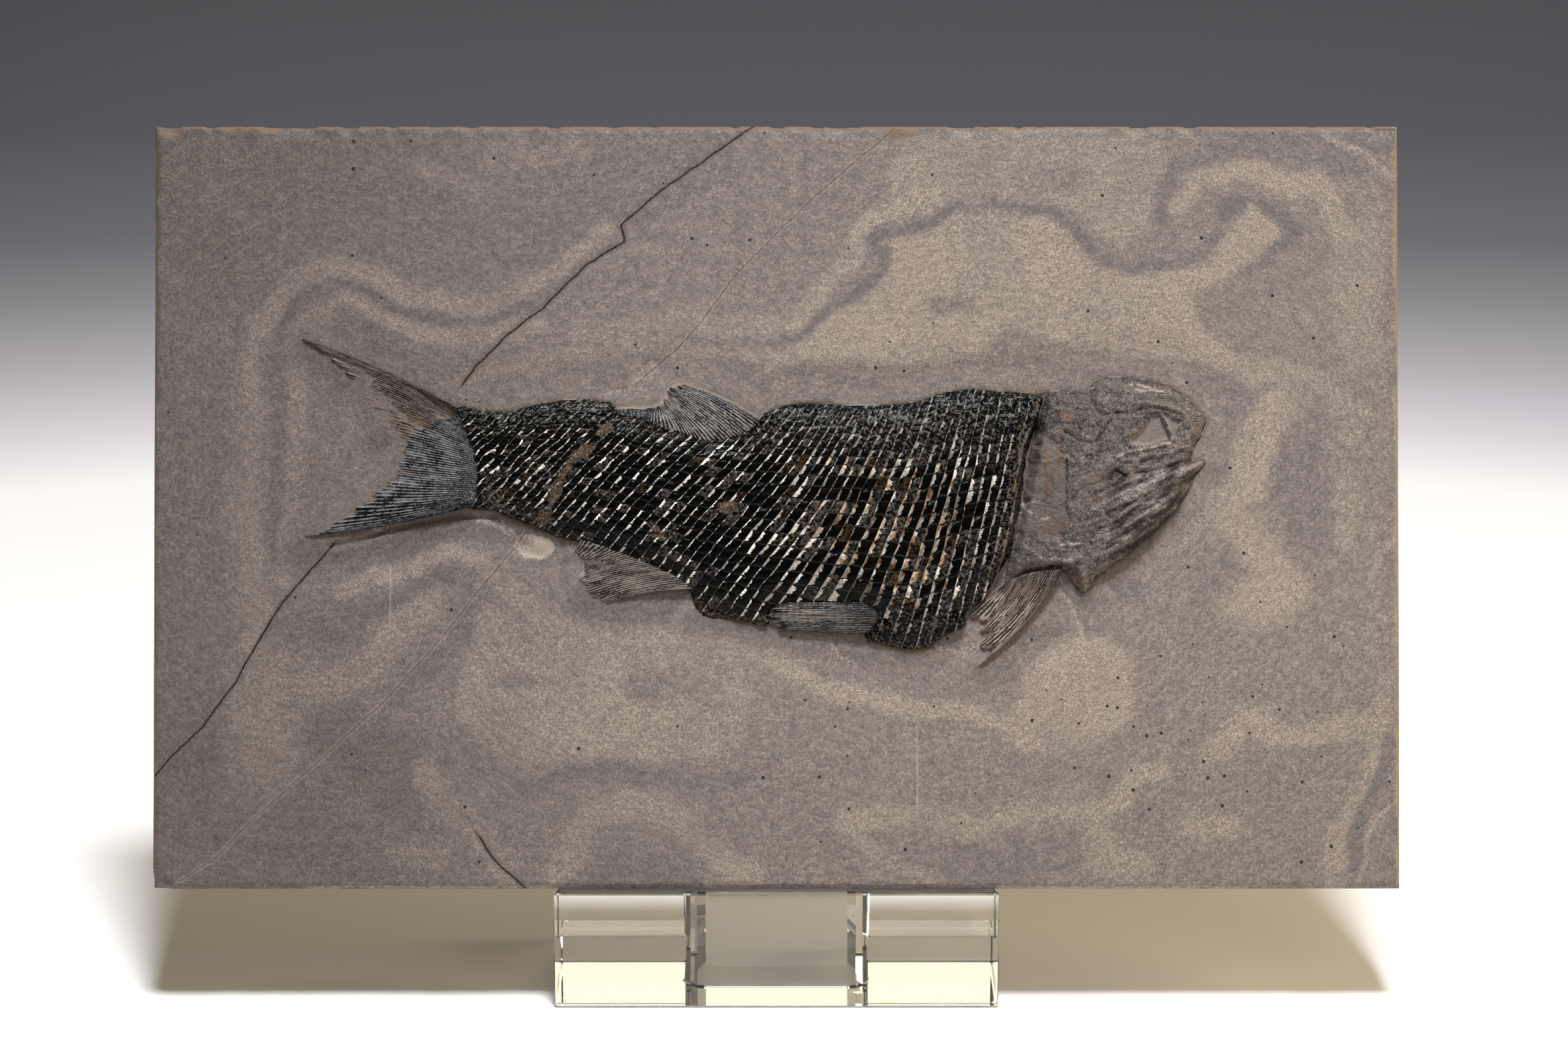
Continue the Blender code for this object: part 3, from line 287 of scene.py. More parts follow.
# The stone's layers, painted in this order: how light (1) or dark (-1), the half width, and the line. A half
# width of nothing fills the outline.
LAYERS = [
    (-0.35, 0, [(-80, 98), (-3, 98), (-20, 84), (-30, 75), (-40, 76), (-55, 82), (-66, 76), (-70, 60),
                (-70, 45), (-66, 30), (-80, 15)]),
    (0.85, 0, [(0, 66.7), (9.7, 67.7), (16.9, 67.0), (23.1, 68.3), (26.7, 69.3), (29.2, 71.3), (31.8, 72.6),
               (32.5, 70.8), (41, 70.1), (47.7, 68.5), (53.8, 67.7), (59, 67.2), (54, 71.5), (53.4, 77.5),
               (60, 79.5), (63.6, 81.1), (64.5, 85), (60, 86.5), (57.5, 83), (54.4, 80.6), (50.3, 79.4),
               (46.2, 78.9), (42.6, 79.8), (40.5, 81.6), (37.9, 83.9), (34.9, 85.8), (30.8, 86.3),
               (25.6, 86.6), (22.1, 86), (19, 84.2), (15.6, 83.2), (13.8, 82.8), (15.2, 81.5), (14.8, 78.6),
               (12.8, 76.2), (10.3, 74.2), (7.7, 72.9), (5.6, 71.4), (3.1, 69.4), (0, 68.5)]),
    (0.6, 0, [(16, 97.5), (48, 97.5), (48, 88), (44.5, 82.5), (40, 86), (36, 88), (30, 88.6), (22, 88.2),
              (15, 86.8)]),
    (-0.1, 3.0, [(33, 91.5), (38, 92)]),
    (-0.4, 1.1, [(20.8, 75), (25, 75.2)]),
    (-0.5, 0, [(56, 97.5), (57, 93.5), (66, 93.3), (72, 92.5), (78, 92), (78, 97.5)]),
    (-0.15, 0, [(55, 67.8), (70, 67.5), (71.5, 77), (62, 78.5), (54.5, 76.5)]),
    (0.5, 0.9, [(64.9, 72.9), (65.4, 73)]),
    (0.5, 0.9, [(68, 72.9), (68.6, 73)]),
    (0.4, 3.2, [(75.5, 84), (75, 77), (76, 70)]),
    (-0.45, 0, [(55.5, 54), (62, 52), (63, 62), (57, 66)]),
    (-0.6, 3.6, [(68, 60), (66.7, 54.4), (69, 47)]),
    (0.9, 0, [(39, 32.6), (45.1, 29.5), (45.4, 25.4), (44.1, 20.8), (40, 19.2), (35.9, 17.7), (31.8, 17.2),
              (29.7, 19.2), (30.8, 24.4), (33.8, 29)]),
    (0.75, 2.6, [(59, 36.8), (65.5, 37)]),
    (-0.1, 0, [(0, 24), (10, 22), (20, 20.5), (29, 19.5), (30, 15), (26, 11), (8, 11), (0, 13)]),
    (-0.5, 0, [(14.9, 4.9), (20.5, 6.9), (28.2, 5.9), (35.9, 6.4), (40, 6.9), (39, 2.3), (30.8, 0.8),
               (23, 1.3)]),
    (0.7, 1.5, [(52, 8), (58, 8)]),
    (0.5, 4.5, [(-66, 27), (-67, 14)]),
    (0.6, 0, [(-38, 36), (-33, 33.5), (-24, 31), (-10, 30.5), (-4, 28), (-4, 20), (-10, 17), (-24, 17),
              (-36, 18), (-41, 22), (-40, 28)]),
    (-0.35, 1.0, [(-34.5, 27), (-31, 27)]),
    (-0.35, 2.3, [(-18, 27), (-9.5, 26.5)]),
    (-0.65, 5.0, [(-56, 19), (-50, 16), (-46, 13)]),
    (-0.7, 3.6, [(-20, 2), (-14, 2)]),
    (0.5, 1.8, [(-49, 4), (-44, 4)]),
    (0.4, 2.4, [(-37, 94), (-26, 94)]),
    (0.4, 0.9, [(-46.7, 92.9), (-40, 91.3), (-37.4, 89.8)]),
    (0.75, 1.4, [(-67, 31), (-66.5, 36), (-67.7, 41), (-67.4, 46.7), (-67.2, 54.4), (-66.9, 62),
                 (-67.5, 69), (-66.4, 72.4), (-64.1, 75.4), (-62, 78), (-59.5, 80), (-55.9, 79.5),
                 (-52.8, 79.3), (-50.3, 78), (-47.2, 76.2), (-44.1, 75.4), (-40, 74.9), (-36.4, 75.4),
                 (-32.8, 76.5), (-30.3, 77.5)]),
    (0.5, 2.1, [(-68, 36), (-68.3, 46.7), (-68, 54.4), (-67.8, 66)]),
    (0.6, 1.1, [(-28.2, 79), (-25.6, 81.3), (-23.1, 83.1), (-21, 84.4)]),
    (-0.75, 0.8, [(-64.6, 42), (-64.3, 50), (-63.9, 60), (-63.9, 70), (-62.5, 74), (-60, 77.3), (-57, 77.5),
                  (-52, 77), (-48, 74.4), (-43, 73.1), (-38, 73), (-32, 74.4)]),
    (0.75, 1.2, [(-63.4, 40), (-63.1, 44.2), (-62.3, 49.3), (-61.5, 57), (-61, 64.7), (-61, 69.3),
                 (-60.3, 72.4), (-57.9, 74.7), (-55.4, 75.4), (-53.3, 75.2), (-50.8, 73.6), (-47.2, 72.1),
                 (-43.1, 71.1), (-39, 71.1), (-35.4, 71.6), (-31.3, 72.4)]),
    (0.6, 1.3, [(-25.6, 71.8), (-22, 72.1), (-17.4, 72.6), (-13.3, 73.4), (-9.2, 73.9)]),
    (0.5, 1.0, [(-40, 64.8), (-36, 66.2), (-32, 67), (-28.7, 67.7), (-24.6, 69.3), (-20.5, 69.9),
                (-15.9, 70.3), (-12.8, 70.8)]),
    (0.6, 1.0, [(-12.3, 68.8), (-8.2, 68.5), (-4.1, 68.3), (0, 67.7)]),
    (0.8, 1.4, [(-9, 72), (-4, 71.8), (0, 72.4), (3.1, 72.9), (5.6, 75.4), (7.7, 78), (10.3, 81.1),
                (11.3, 84.2), (12.8, 86.5), (16.4, 88.3), (19.5, 89.3)]),
    (-0.75, 0.7, [(-7, 70.2), (0, 70.1), (3.1, 70.3), (5.6, 72.4), (7.7, 73.9), (10.3, 75.2), (12.3, 77),
                  (14.1, 79), (14.4, 81.6), (12.8, 83.1), (14.9, 84.4), (19, 85.2), (22.1, 87),
                  (25.6, 87.5), (30.8, 87.2), (34.9, 86.7), (37.9, 84.9), (40.5, 82.6), (42.6, 80.8),
                  (46.2, 79.8), (50.3, 80.3), (54.4, 81.6), (56.4, 83.6), (57.9, 86.7), (61.5, 87.5),
                  (64.6, 87.2), (67.2, 84.7), (66.2, 82.6), (63.6, 81.1), (61.5, 79)]),
    (-0.9, 1.3, [(57.5, 86.9), (61, 87.2), (64.5, 86.5), (66.4, 84.5)]),
    (-0.6, 1.3, [(56.4, 93), (51.3, 92.8), (49.2, 90.8), (49, 87.7), (49.7, 85.4)]),
    (0.8, 1.5, [(51.3, 87.7), (53.3, 89.8), (56.4, 91.3), (61.5, 92.1), (66.7, 90.3), (70.3, 90.8),
                (71.3, 87.7), (72.8, 84.7)]),
    (0.85, 1.5, [(61.5, 86.2), (62.6, 84.2), (60.5, 82.1), (57.9, 80), (54.4, 78.5), (50.3, 77.5),
                 (46.2, 77.5)]),
    (0.7, 0.4, [(70.8, 97.2), (74.4, 95.4), (76.9, 93.4), (79, 90.8)]),
    (0.8, 1.5, [(36, 72), (45.1, 72.4), (49.2, 71.3), (52.8, 70.1), (55.9, 68.3), (60.5, 66.2),
                (64.6, 66.7), (68.7, 66.2), (71.8, 65.2), (72.3, 62.6)]),
    (0.9, 2.7, [(65.6, 62.1), (63.1, 59), (61.5, 55.4), (60.5, 51.8), (57.4, 48.8), (54.4, 46.2),
                (52.3, 45.9), (47.7, 43.3), (43.6, 40.3)]),
    (0.55, 1.4, [(73.5, 57.5), (74, 61.5)]),
    (0.45, 1.2, [(72.8, 44), (73.2, 51.5)]),
    (-0.5, 1.6, [(44.5, 38.5), (46.5, 38.5)]),
    (-0.5, 3.4, [(55.5, 40), (57, 41.5)]),
    (0.75, 2.0, [(60, 46.9), (62.6, 42.3), (66.2, 37.7)]),
    (0.65, 1.8, [(55.4, 16.7), (59, 19.2), (61, 21.8), (64.1, 19.2), (68.2, 19.7), (72.8, 20.8),
                 (76.9, 21.8)]),
    (0.75, 1.5, [(8.2, 9), (13.3, 9.5), (20.5, 9.7), (24.6, 8.5), (30.8, 9), (35.9, 9.5), (40, 9.5)]),
    (0.6, 1.2, [(35.9, 12.1), (39, 13.1)]),
    (0.7, 1.4, [(41, 9.6), (44.1, 11), (46.2, 14.1), (49.7, 14.6)]),
    (0.7, 2.0, [(41.5, 6.4), (42, 2.3), (46.2, 2.3)]),
    (0.6, 1.0, [(9.7, 6.9), (12.8, 4.4), (17.9, 2.3), (22, 0.8)]),
    (0.6, 1.5, [(79, 25.4), (76.9, 19.2), (75.4, 13.1), (73.8, 9), (71.8, 5.4), (70.8, 2.3)]),
    (-0.7, 1.0, [(79, 19), (77.3, 14), (75.6, 8), (73.6, 3)]),
    (0.8, 0.3, [(79.5, 11), (76.9, 6.4), (74.4, 1.3)]),
    (0.8, 0.6, [(79, 45.4), (76.9, 41.8), (75.9, 39.2)]),
    (0.75, 1.2, [(-30.8, 34.6), (-23.6, 32.1), (-15.9, 32.6), (-9.2, 31.8), (-5.6, 30.5), (0, 28.5),
                 (5.1, 25.9), (10.3, 24.9), (15.4, 23.8), (20.5, 23.1), (25.6, 22.3), (29.7, 21.3)]),
    (0.75, 1.3, [(-55.4, 38.2), (-51.3, 40.3), (-46.7, 41.8), (-42.1, 42.8), (-39, 41.3), (-35.9, 39.2),
                 (-32.8, 36.7)]),
    (-0.55, 1.3, [(-55.4, 35.1), (-51.3, 36.2), (-48.2, 38.5), (-44.1, 39.7), (-40.5, 39.7), (-39, 37.2),
                  (-40.5, 33.1), (-43.1, 29.5), (-46.2, 27.4), (-49.2, 24.9)]),
    (-0.5, 1.7, [(-63, 33.5), (-55, 33.5)]),
    (0.6, 2.4, [(-45, 36), (-49, 33), (-52, 29), (-60, 26)]),
    (-0.6, 1.2, [(-38, 14.6), (-31.3, 13.6), (-24.6, 14.9), (-18.5, 15.1), (-10.8, 14.1), (-3, 15)]),
    (0.7, 1.8, [(-28.2, 2.3), (-25.6, 5.9), (-22.6, 9), (-18.5, 11), (-13.3, 10), (-9.2, 6.4), (-6.2, 3.3),
                (-3.1, 1.8)]),
    (0.6, 2.0, [(-45.1, 14.1), (-42.1, 9.5), (-37.9, 6.4), (-34.9, 3.3)]),
]


def linear(code):
    """The linear colour of an sRGB hex code."""
    parts = [int(code[i:i + 2], 16) / 255 for i in (1, 3, 5)]
    return tuple(part / 12.92 if part <= 0.04045 else ((part + 0.055) / 1.055) ** 2.4 for part in parts)


def smooth(low, high, value):
    """From 0 at low to 1 at high, with soft ends."""
    t = np.clip((value - low) / (high - low), 0.0, 1.0)
    return t * t * (3 - 2 * t)


def lattice(i, j, seed):
    """A random number from -1 to 1 for each whole place."""
    mixed = np.sin(i * 127.1 + j * 311.7 + seed * 74.7) * 43758.5453
    return 2.0 * (mixed - np.floor(mixed)) - 1.0


def rough(a, b, size, seed, octaves=1):
    """Smooth random relief from -1 to 1, its bumps about size apart, and finer ones for each more octave."""
    total = 0.0
    for octave in range(octaves):
        x = np.asarray(a) / size * 2 ** octave
        y = np.asarray(b) / size * 2 ** octave
        i = np.floor(x)
        j = np.floor(y)
        u = (x - i) ** 2 * (3 - 2 * (x - i))
        v = (y - j) ** 2 * (3 - 2 * (y - j))
        low = lattice(i, j, seed + octave) * (1 - u) + lattice(i + 1, j, seed + octave) * u
        high = lattice(i, j + 1, seed + octave) * (1 - u) + lattice(i + 1, j + 1, seed + octave) * u
        total = total + (low * (1 - v) + high * v) / 2 ** octave
    return total


def curve(points, closed=False, steps=5):
    """A smooth line through the points, as a longer list of points."""
    count = len(points)
    ends = count if closed else count - 1
    line = []
    for i in range(ends):
        picks = [(i + k) % count if closed else min(max(i + k, 0), count - 1) for k in (-1, 0, 1, 2)]
        before, start, end, after = (Vector(points[k]) for k in picks)
        for k in range(steps):
            f = k / steps
            spot = 0.5 * (2 * start + (end - before) * f
                          + (2 * before - 5 * start + 4 * end - after) * f * f
                          + (3 * start - 3 * end + after - before) * f ** 3)
            line.append((spot.x, spot.y))
    return line if closed else line + [tuple(points[-1])]


def nearest(line, a, b):
    """How far each place is from a line of points, and on which side: 1 on the left, -1 on the right."""
    best = np.full(np.shape(a), 1e9)
    side = np.zeros(np.shape(a))
    for (x0, y0), (x1, y1) in zip(line, line[1:]):
        dx = x1 - x0
        dy = y1 - y0
        t = np.clip(((a - x0) * dx + (b - y0) * dy) / (dx * dx + dy * dy + 1e-12), 0.0, 1.0)
        away = np.hypot(a - x0 - t * dx, b - y0 - t * dy)
        closer = away < best
        best = np.where(closer, away, best)
        side = np.where(closer, np.sign(dx * (b - y0) - dy * (a - x0)), side)
    return best, side


def outside(outline, a, b):
    """How far each place is outside a closed outline, below nothing inside it."""
    away, _ = nearest(outline + outline[:1], a, b)
    within = np.zeros(np.shape(a), bool)
    for (x0, y0), (x1, y1) in zip(outline, outline[1:] + outline[:1]):
        if y0 != y1:
            within ^= ((y0 > b) != (y1 > b)) & (a < (x1 - x0) * (b - y0) / (y1 - y0) + x0)
    return np.where(within, -away, away)


def heights(points, x):
    """The height of a line of points at each x."""
    return np.interp(x, [p[0] for p in points], [p[1] for p in points])


def ground(a, b):
    """The hand-worked face of the stone without the fish: gentle hollows, and the bed dug round the fish."""
    rise = -0.25 - 0.16 * rough(a, b, 26.0, 4, 2) - 0.03 * rough(a, b, 3.5, 9, 2)
    edge = outside(curve(HALO, True, 3), a, b) + 1.0 * rough(a, b, 7.0, 12, 2)
    dug = smooth(HALO_RIM, 0.0, edge)
    floor = HALO_FLOOR + 0.04 * rough(a, b, 4.0, 15, 2)
    return rise * (1 - dug) + floor * dug


class Sheet:
    """A closed piece on the slab's face: a grid laid at a, b and n, with skirts behind its border."""

    def __init__(self, a, b, n, skirts):
        rows, columns = a.shape
        self.shape = bmesh.new()
        bmesh.ops.create_grid(self.shape, x_segments=columns - 1, y_segments=rows - 1, size=1.0)
        edges = [edge for edge in self.shape.edges if edge.is_boundary]
        levels = [len(self.shape.verts)]
        for _ in skirts:
            grown = bmesh.ops.extrude_edge_only(self.shape, edges=edges)["geom"]
            edges = [item for item in grown if isinstance(item, bmesh.types.BMEdge) and item.is_boundary]
            levels.append(len(self.shape.verts))
        bmesh.ops.contextual_create(self.shape, geom=edges)
        places = np.array([vertex.co[:2] for vertex in self.shape.verts])
        column = np.round((places[:, 0] + 1) / 2 * (columns - 1)).astype(int)
        row = np.round((places[:, 1] + 1) / 2 * (rows - 1)).astype(int)
        self.source = row * columns + column
        self.sides = levels[0]
        self.back = levels[-2]
        spots = np.stack([a.ravel()[self.source], b.ravel()[self.source], n.ravel()[self.source]], axis=1)
        for (level, shift), first, last in zip(skirts, levels, levels[1:]):
            spots[first:last, 2] = level
            if shift:
                spots[first:last, :2] = shift(spots[first:last, 0], spots[first:last, 1])
        for vertex, spot in zip(self.shape.verts, spots):
            vertex.co = spot
        bmesh.ops.recalc_face_normals(self.shape, faces=self.shape.faces)

    def finish(self, name, node, material, values, sharp=None, behind=None):
        """The sheet as a piece that stands for a node, with one number for each value at every place.

        Behind has the values that are the same all over the back.
        """
        mesh = bpy.data.meshes.new(name)
        self.shape.to_mesh(mesh)
        self.shape.free()
        for key, numbers in values.items():
            spread = np.asarray(numbers, dtype=np.float32).ravel()[self.source]
            if behind:
                spread[self.back:] = behind[key]
            layer = mesh.attributes.new(key, "FLOAT", "POINT")
            layer.data.foreach_set("value", spread)
        if behind:
            sawn = mesh.attributes.new("sawn", "FLOAT", "POINT")
            sawn.data.foreach_set("value", (np.arange(len(mesh.vertices)) >= self.sides).astype(np.float32))
        mesh.transform(FACE)
        mesh.shade_smooth()
        if sharp:
            mesh.set_sharp_from_angle(angle=math.radians(sharp))
        return dress(name, mesh, node, material)


def dress(name, mesh, node, material):
    """A new piece that rides on the body and stands for a node."""
    piece = bpy.data.objects.new(name, mesh)
    bpy.context.scene.collection.objects.link(piece)
    mesh.materials.append(material)
    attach(piece, "root")
    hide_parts(node)
    return piece


def new_material(name):
    """An empty material with its shader, ready for nodes."""
    material = bpy.data.materials.new(name)
    material.use_nodes = True
    return material, material.node_tree, material.node_tree.nodes["Principled BSDF"]


def first_output(node):
    """The first output that the node offers with its settings."""
    return next(socket for socket in node.outputs if socket.enabled)


def add(tree, kind, inputs=(), stops=None, **settings):
    """Adds a node with its settings, and links or sets its inputs.

    Inputs come by name, or as a list in the node's own order, which for a range is value, from low,
    from high, to low, to high. A colour is given without its alpha.
    """
    node = tree.nodes.new("ShaderNode" + kind)
    for name, value in settings.items():
        setattr(node, name, value)
    for name, value in inputs.items() if isinstance(inputs, dict) else enumerate(inputs):
        socket = node.inputs[name] if isinstance(name, int) else next(
            socket for socket in node.inputs if socket.enabled and socket.name == name)
        if isinstance(value, bpy.types.Node):
            value = first_output(value)
        if isinstance(value, bpy.types.NodeSocket):
            tree.links.new(value, socket)
        else:
            socket.default_value = (*value, 1.0) if socket.type == "RGBA" else value
    if stops:
        ramp = node.color_ramp.elements
        while len(ramp) < len(stops):
            ramp.new(0.5)
        for element, (place, colour) in zip(ramp, stops):
            element.position = place
            element.color = (*colour, 1.0)
    return node


def attributes(tree, *names):
    """What the mesh says by each of these names, one number for each of its places."""
    return [add(tree, "Attribute", attribute_name=name).outputs["Fac"] for name in names]


def layered(tree, colour, coats):
    """The colour with each coat's tint laid over it in turn, where the coat's mask says."""
    for mask, tint in coats:
        colour = add(tree, "Mix", {"Factor": mask, "A": colour, "B": tint}, data_type="RGBA")
    return colour


def surface(tree, shader, colour, roughness, relief, depth, strength):
    """Links a colour, a roughness and a relief of this depth to the shader."""
    bump = add(tree, "Bump", {"Height": relief, "Distance": depth, "Strength": strength})
    for name, node in (("Base Color", colour), ("Roughness", roughness), ("Normal", bump)):
        tree.links.new(first_output(node), shader.inputs[name])


def face_millimetres(tree):
    """Object coordinates turned to millimetres on the slab's face."""
    spot = add(tree, "TexCoord")
    return add(tree, "Mapping", {"Vector": spot.outputs["Object"], "Location": tuple(SLAB_FOOT * MM),
                                 "Rotation": (math.pi / 2 - LEAN, 0.0, 0.0), "Scale": (MM, MM, MM)},
               vector_type="TEXTURE")


class FossilSizes(bpy.types.PropertyGroup):
    """Sizes of the fish and the stone."""

    scale_step: bpy.props.FloatProperty(
        name="Scale step", description="How far each row of scales stands over the next one",
        default=0.17 * MM, unit="LENGTH", precision=5)
    joint_dip: bpy.props.FloatProperty(
        name="Joint dip", description="How deep the joints between a row's scales are", default=0.07 * MM,
        unit="LENGTH", precision=5)
    crack_depth: bpy.props.FloatProperty(
        name="Crack depth", description="How deep the open crack is drawn", default=0.24 * MM,
        unit="LENGTH", precision=5)
    stone_step: bpy.props.FloatProperty(
        name="Stone mesh step", description="The spacing of the stone's mesh along the slab's width",
        default=0.42 * MM, unit="LENGTH", precision=5)


class FossilColours(bpy.types.PropertyGroup):
    """Colours of the stone, the fish and the floor."""

    stone_light: bpy.props.FloatVectorProperty(
        name="Light layers", description="The grainy tan layers of the stone", default=linear("#9a8d82"),
        subtype="COLOR")
    stone_dark: bpy.props.FloatVectorProperty(
        name="Dark layers", description="The smooth grey layers of the stone", default=linear("#6f6865"),
        subtype="COLOR")
    bruise: bpy.props.FloatVectorProperty(
        name="Bruises", description="Fresh stone under its skin", default=linear("#b9ab9d"),
        subtype="COLOR")
    # Also the colour of the painted shadow below the fish's wall
    stain: bpy.props.FloatVectorProperty(
        name="Stain", description="Brown stain along cracks and walls", default=linear("#5f5145"),
        subtype="COLOR")
    enamel: bpy.props.FloatVectorProperty(
        name="Enamel", description="The scales' polished faces", default=linear("#050505"), subtype="COLOR")
    # Partly the edges' own chalky colour, partly painted highlight where light catches them
    enamel_edge_and_glint: bpy.props.FloatVectorProperty(
        name="Enamel edge", description="The weathered edges of the scales", default=linear("#f6eee2"),
        subtype="COLOR")
    amber: bpy.props.FloatVectorProperty(
        name="Amber", description="Thin enamel that shows brown", default=linear("#8a6238"),
        subtype="COLOR")
    bone_dark: bpy.props.FloatVectorProperty(
        name="Dark bone", description="The hollows between the skull's bones", default=linear("#241f1c"),
        subtype="COLOR")
    bone_light: bpy.props.FloatVectorProperty(
        name="Light bone", description="The worn tops of the skull's bones", default=linear("#8c8178"),
        subtype="COLOR")
    floor: bpy.props.FloatVectorProperty(
        name="Floor", description="The plain pale floor", default=linear("#f1f0f1"), subtype="COLOR")


def limestone(colours):
    """Fine limestone, rubbed flat by hand: smooth grey layers and grainy tan ones that sparkle a little."""
    material, tree, shader = new_material("rubbed banded limestone")
    spot = face_millimetres(tree)
    tone, halo, above, crack, filled, hair, bruise, pitted, painted_shade, rust, sawn = attributes(
        tree, "tone", "from_fish", "above_fish", "from_open_crack", "from_filled_crack", "from_hairline",
        "bruise", "pitted", "painted_shade", "rust", "sawn")

    # The layers' edges wander by about 1 mm, and their grains are 0.2 to 0.4 mm
    wander = add(tree, "TexNoise", {"Vector": spot, "Scale": 0.7, "Detail": 5.0, "Roughness": 0.62})
    grain = add(tree, "TexNoise", {"Vector": spot, "Scale": 2.6, "Detail": 4.0, "Roughness": 0.75})
    fine = add(tree, "TexNoise", {"Vector": spot, "Scale": 5.5, "Detail": 2.0, "Roughness": 0.6})
    centred = add(tree, "Math", [wander, 0.5], operation="SUBTRACT")
    ragged = add(tree, "Math", [centred, 2.1, tone], operation="MULTIPLY_ADD")
    speck = add(tree, "Math", [grain, 0.5], operation="SUBTRACT")
    ragged = add(tree, "Math", [speck, 1.6, ragged], operation="MULTIPLY_ADD")
    light = add(tree, "MapRange", [ragged, -0.72, 0.85])
    base = layered(tree, colours.stone_dark, [(light, colours.stone_light)])

    # Bedding lines that follow the fish
    bed = add(tree, "Math", [wander, 4.0, halo], operation="MULTIPLY_ADD")
    bed = add(tree, "Math", [bed, 2 * math.pi / BEDDING_SPACING], operation="MULTIPLY")
    bed = add(tree, "Math", [bed], operation="SINE")
    bed = add(tree, "MapRange", [bed, -1.0, 1.0, 0.9, 1.08])

    # Grains: pale and dark specks, stronger in the light layers; the pale specks are partly painted glints
    sparkle = add(tree, "MapRange", [fine, 0.3, 0.7, 0.5, 1.55])
    quiet = add(tree, "MapRange", [light, 0.0, 1.0, 0.4, 1.0])
    sparkle = add(tree, "Mix", {"Factor": quiet, "A": 1.0, "B": sparkle}, data_type="FLOAT")
    grainy = add(tree, "VectorMath", {0: base, "Scale": sparkle}, operation="SCALE")
    grainy = add(tree, "VectorMath", {0: grainy, "Scale": bed}, operation="SCALE")
    mottle = add(tree, "MapRange", [grain, 0.3, 0.7, 0.72, 1.3])
    grainy = add(tree, "VectorMath", {0: grainy, "Scale": mottle}, operation="SCALE")
    # Painted shade, as the mesh gives it: the stone darkened by up to half
    painted_shade_factor = add(tree, "MapRange", [painted_shade, 0.0, 1.0, 1.0, 0.5])
    grainy = add(tree, "VectorMath", {0: grainy, "Scale": painted_shade_factor}, operation="SCALE")

    # Pits 0.2 to 0.5 mm across, in a few of the cells, painted dark as the shade inside them
    cells = add(tree, "TexVoronoi", {"Vector": spot, "Scale": 1 / PIT_CELL})
    chance = add(tree, "SeparateColor", {"Color": cells.outputs["Color"]})
    rare = add(tree, "Math", [chance.outputs[0], pitted], operation="LESS_THAN")
    size = add(tree, "MapRange", [chance.outputs[1], 0.0, 1.0, 0.06, 0.15])
    pit = add(tree, "Math", [cells.outputs["Distance"], size], operation="LESS_THAN")
    pit = add(tree, "Math", [pit, rare], operation="MULTIPLY")

    # The fish's wall: a bruised pale lip above it, and below it a brown tint, partly stain and partly
    # painted shadow
    ledge = add(tree, "Math", [speck, 0.7, halo], operation="MULTIPLY_ADD")
    near = add(tree, "MapRange", [ledge, 0.4, 0.1, 0.0, 0.7], interpolation_type="SMOOTHSTEP")
    upper = add(tree, "MapRange", [above, 0.1, 0.6])
    lower = add(tree, "MapRange", [above, 0.0, -0.5])
    lip = add(tree, "Math", [near, upper], operation="MULTIPLY")
    shade = add(tree, "MapRange", [ledge, 0.9, 0.2], interpolation_type="SMOOTHSTEP")
    shade = add(tree, "Math", [shade, lower], operation="MULTIPLY")
    shade = add(tree, "Math", [shade, 0.42], operation="MULTIPLY")

    # The cracks: open ones with a stained rim and a dark line of painted shade in their gap, or thin and
    # filled
    width = add(tree, "Math", [crack], operation="ABSOLUTE")
    rim = add(tree, "MapRange", [width, 0.75, 0.1], interpolation_type="SMOOTHSTEP")
    rim = add(tree, "Math", [rim, wander], operation="MULTIPLY")
    gap = add(tree, "Math", [speck, 0.25, width], operation="MULTIPLY_ADD")
    gap = add(tree, "MapRange", [gap, 0.14, 0.07], interpolation_type="SMOOTHSTEP")
    seam = add(tree, "Math", [filled], operation="ABSOLUTE")
    seam = add(tree, "Math", [speck, 0.2, seam], operation="MULTIPLY_ADD")
    seam_dark = add(tree, "MapRange", [seam, 0.13, 0.03, 0.0, 0.7])
    seam_pale = add(tree, "MapRange", [seam, 0.45, 0.12, 0.0, 0.16])
    thread = add(tree, "MapRange", [hair, 0.16, 0.05, 0.0, 0.5])
    raw = add(tree, "Math", [speck, 1.3, bruise], operation="MULTIPLY_ADD")
    raw = add(tree, "MapRange", [raw, 0.3, 0.9, 0.0, 0.75], interpolation_type="SMOOTHSTEP")
    rusty = add(tree, "Math", [speck, 1.6, rust], operation="MULTIPLY_ADD")
    rusty = add(tree, "MapRange", [rusty, 0.25, 0.95, 0.0, 0.7])

    colour = layered(tree, grainy, [
        (shade, colours.stain), (rim, colours.stain), (rusty, linear("#79604a")), (lip, colours.bruise),
        (seam_pale, colours.bruise), (thread, colours.bruise), (raw, colours.bruise),
        (seam_dark, linear("#3a2c22")), (gap, linear("#120d0a")), (pit, linear("#1c1815"))])

    gloss = add(tree, "MapRange", [fine, 0.35, 0.7, 0.82, 0.5])
    relief = add(tree, "Math", [fine, sparkle, grain], operation="MULTIPLY_ADD")
    relief = add(tree, "Math", [pit, -3.0, relief], operation="MULTIPLY_ADD")
    relief = add(tree, "Math", [gap, -3.0, relief], operation="MULTIPLY_ADD")
    # Saw marks on the sides and the back
    stroke = add(tree, "VectorMath", [spot, (0.97, 0.25, 0.6)], operation="DOT_PRODUCT")
    stroke = add(tree, "Math", [wander, 0.8, stroke], operation="MULTIPLY_ADD")
    stroke = add(tree, "Math", [stroke, 2 * math.pi / SAW_SPACING], operation="MULTIPLY")
    stroke = add(tree, "Math", [stroke], operation="SINE")
    stroke = add(tree, "Math", [stroke, sawn], operation="MULTIPLY")
    relief = add(tree, "Math", [stroke, 0.35, relief], operation="MULTIPLY_ADD")
    surface(tree, shader, colour, gloss, relief, 0.05 * MM, 0.8)
    return material


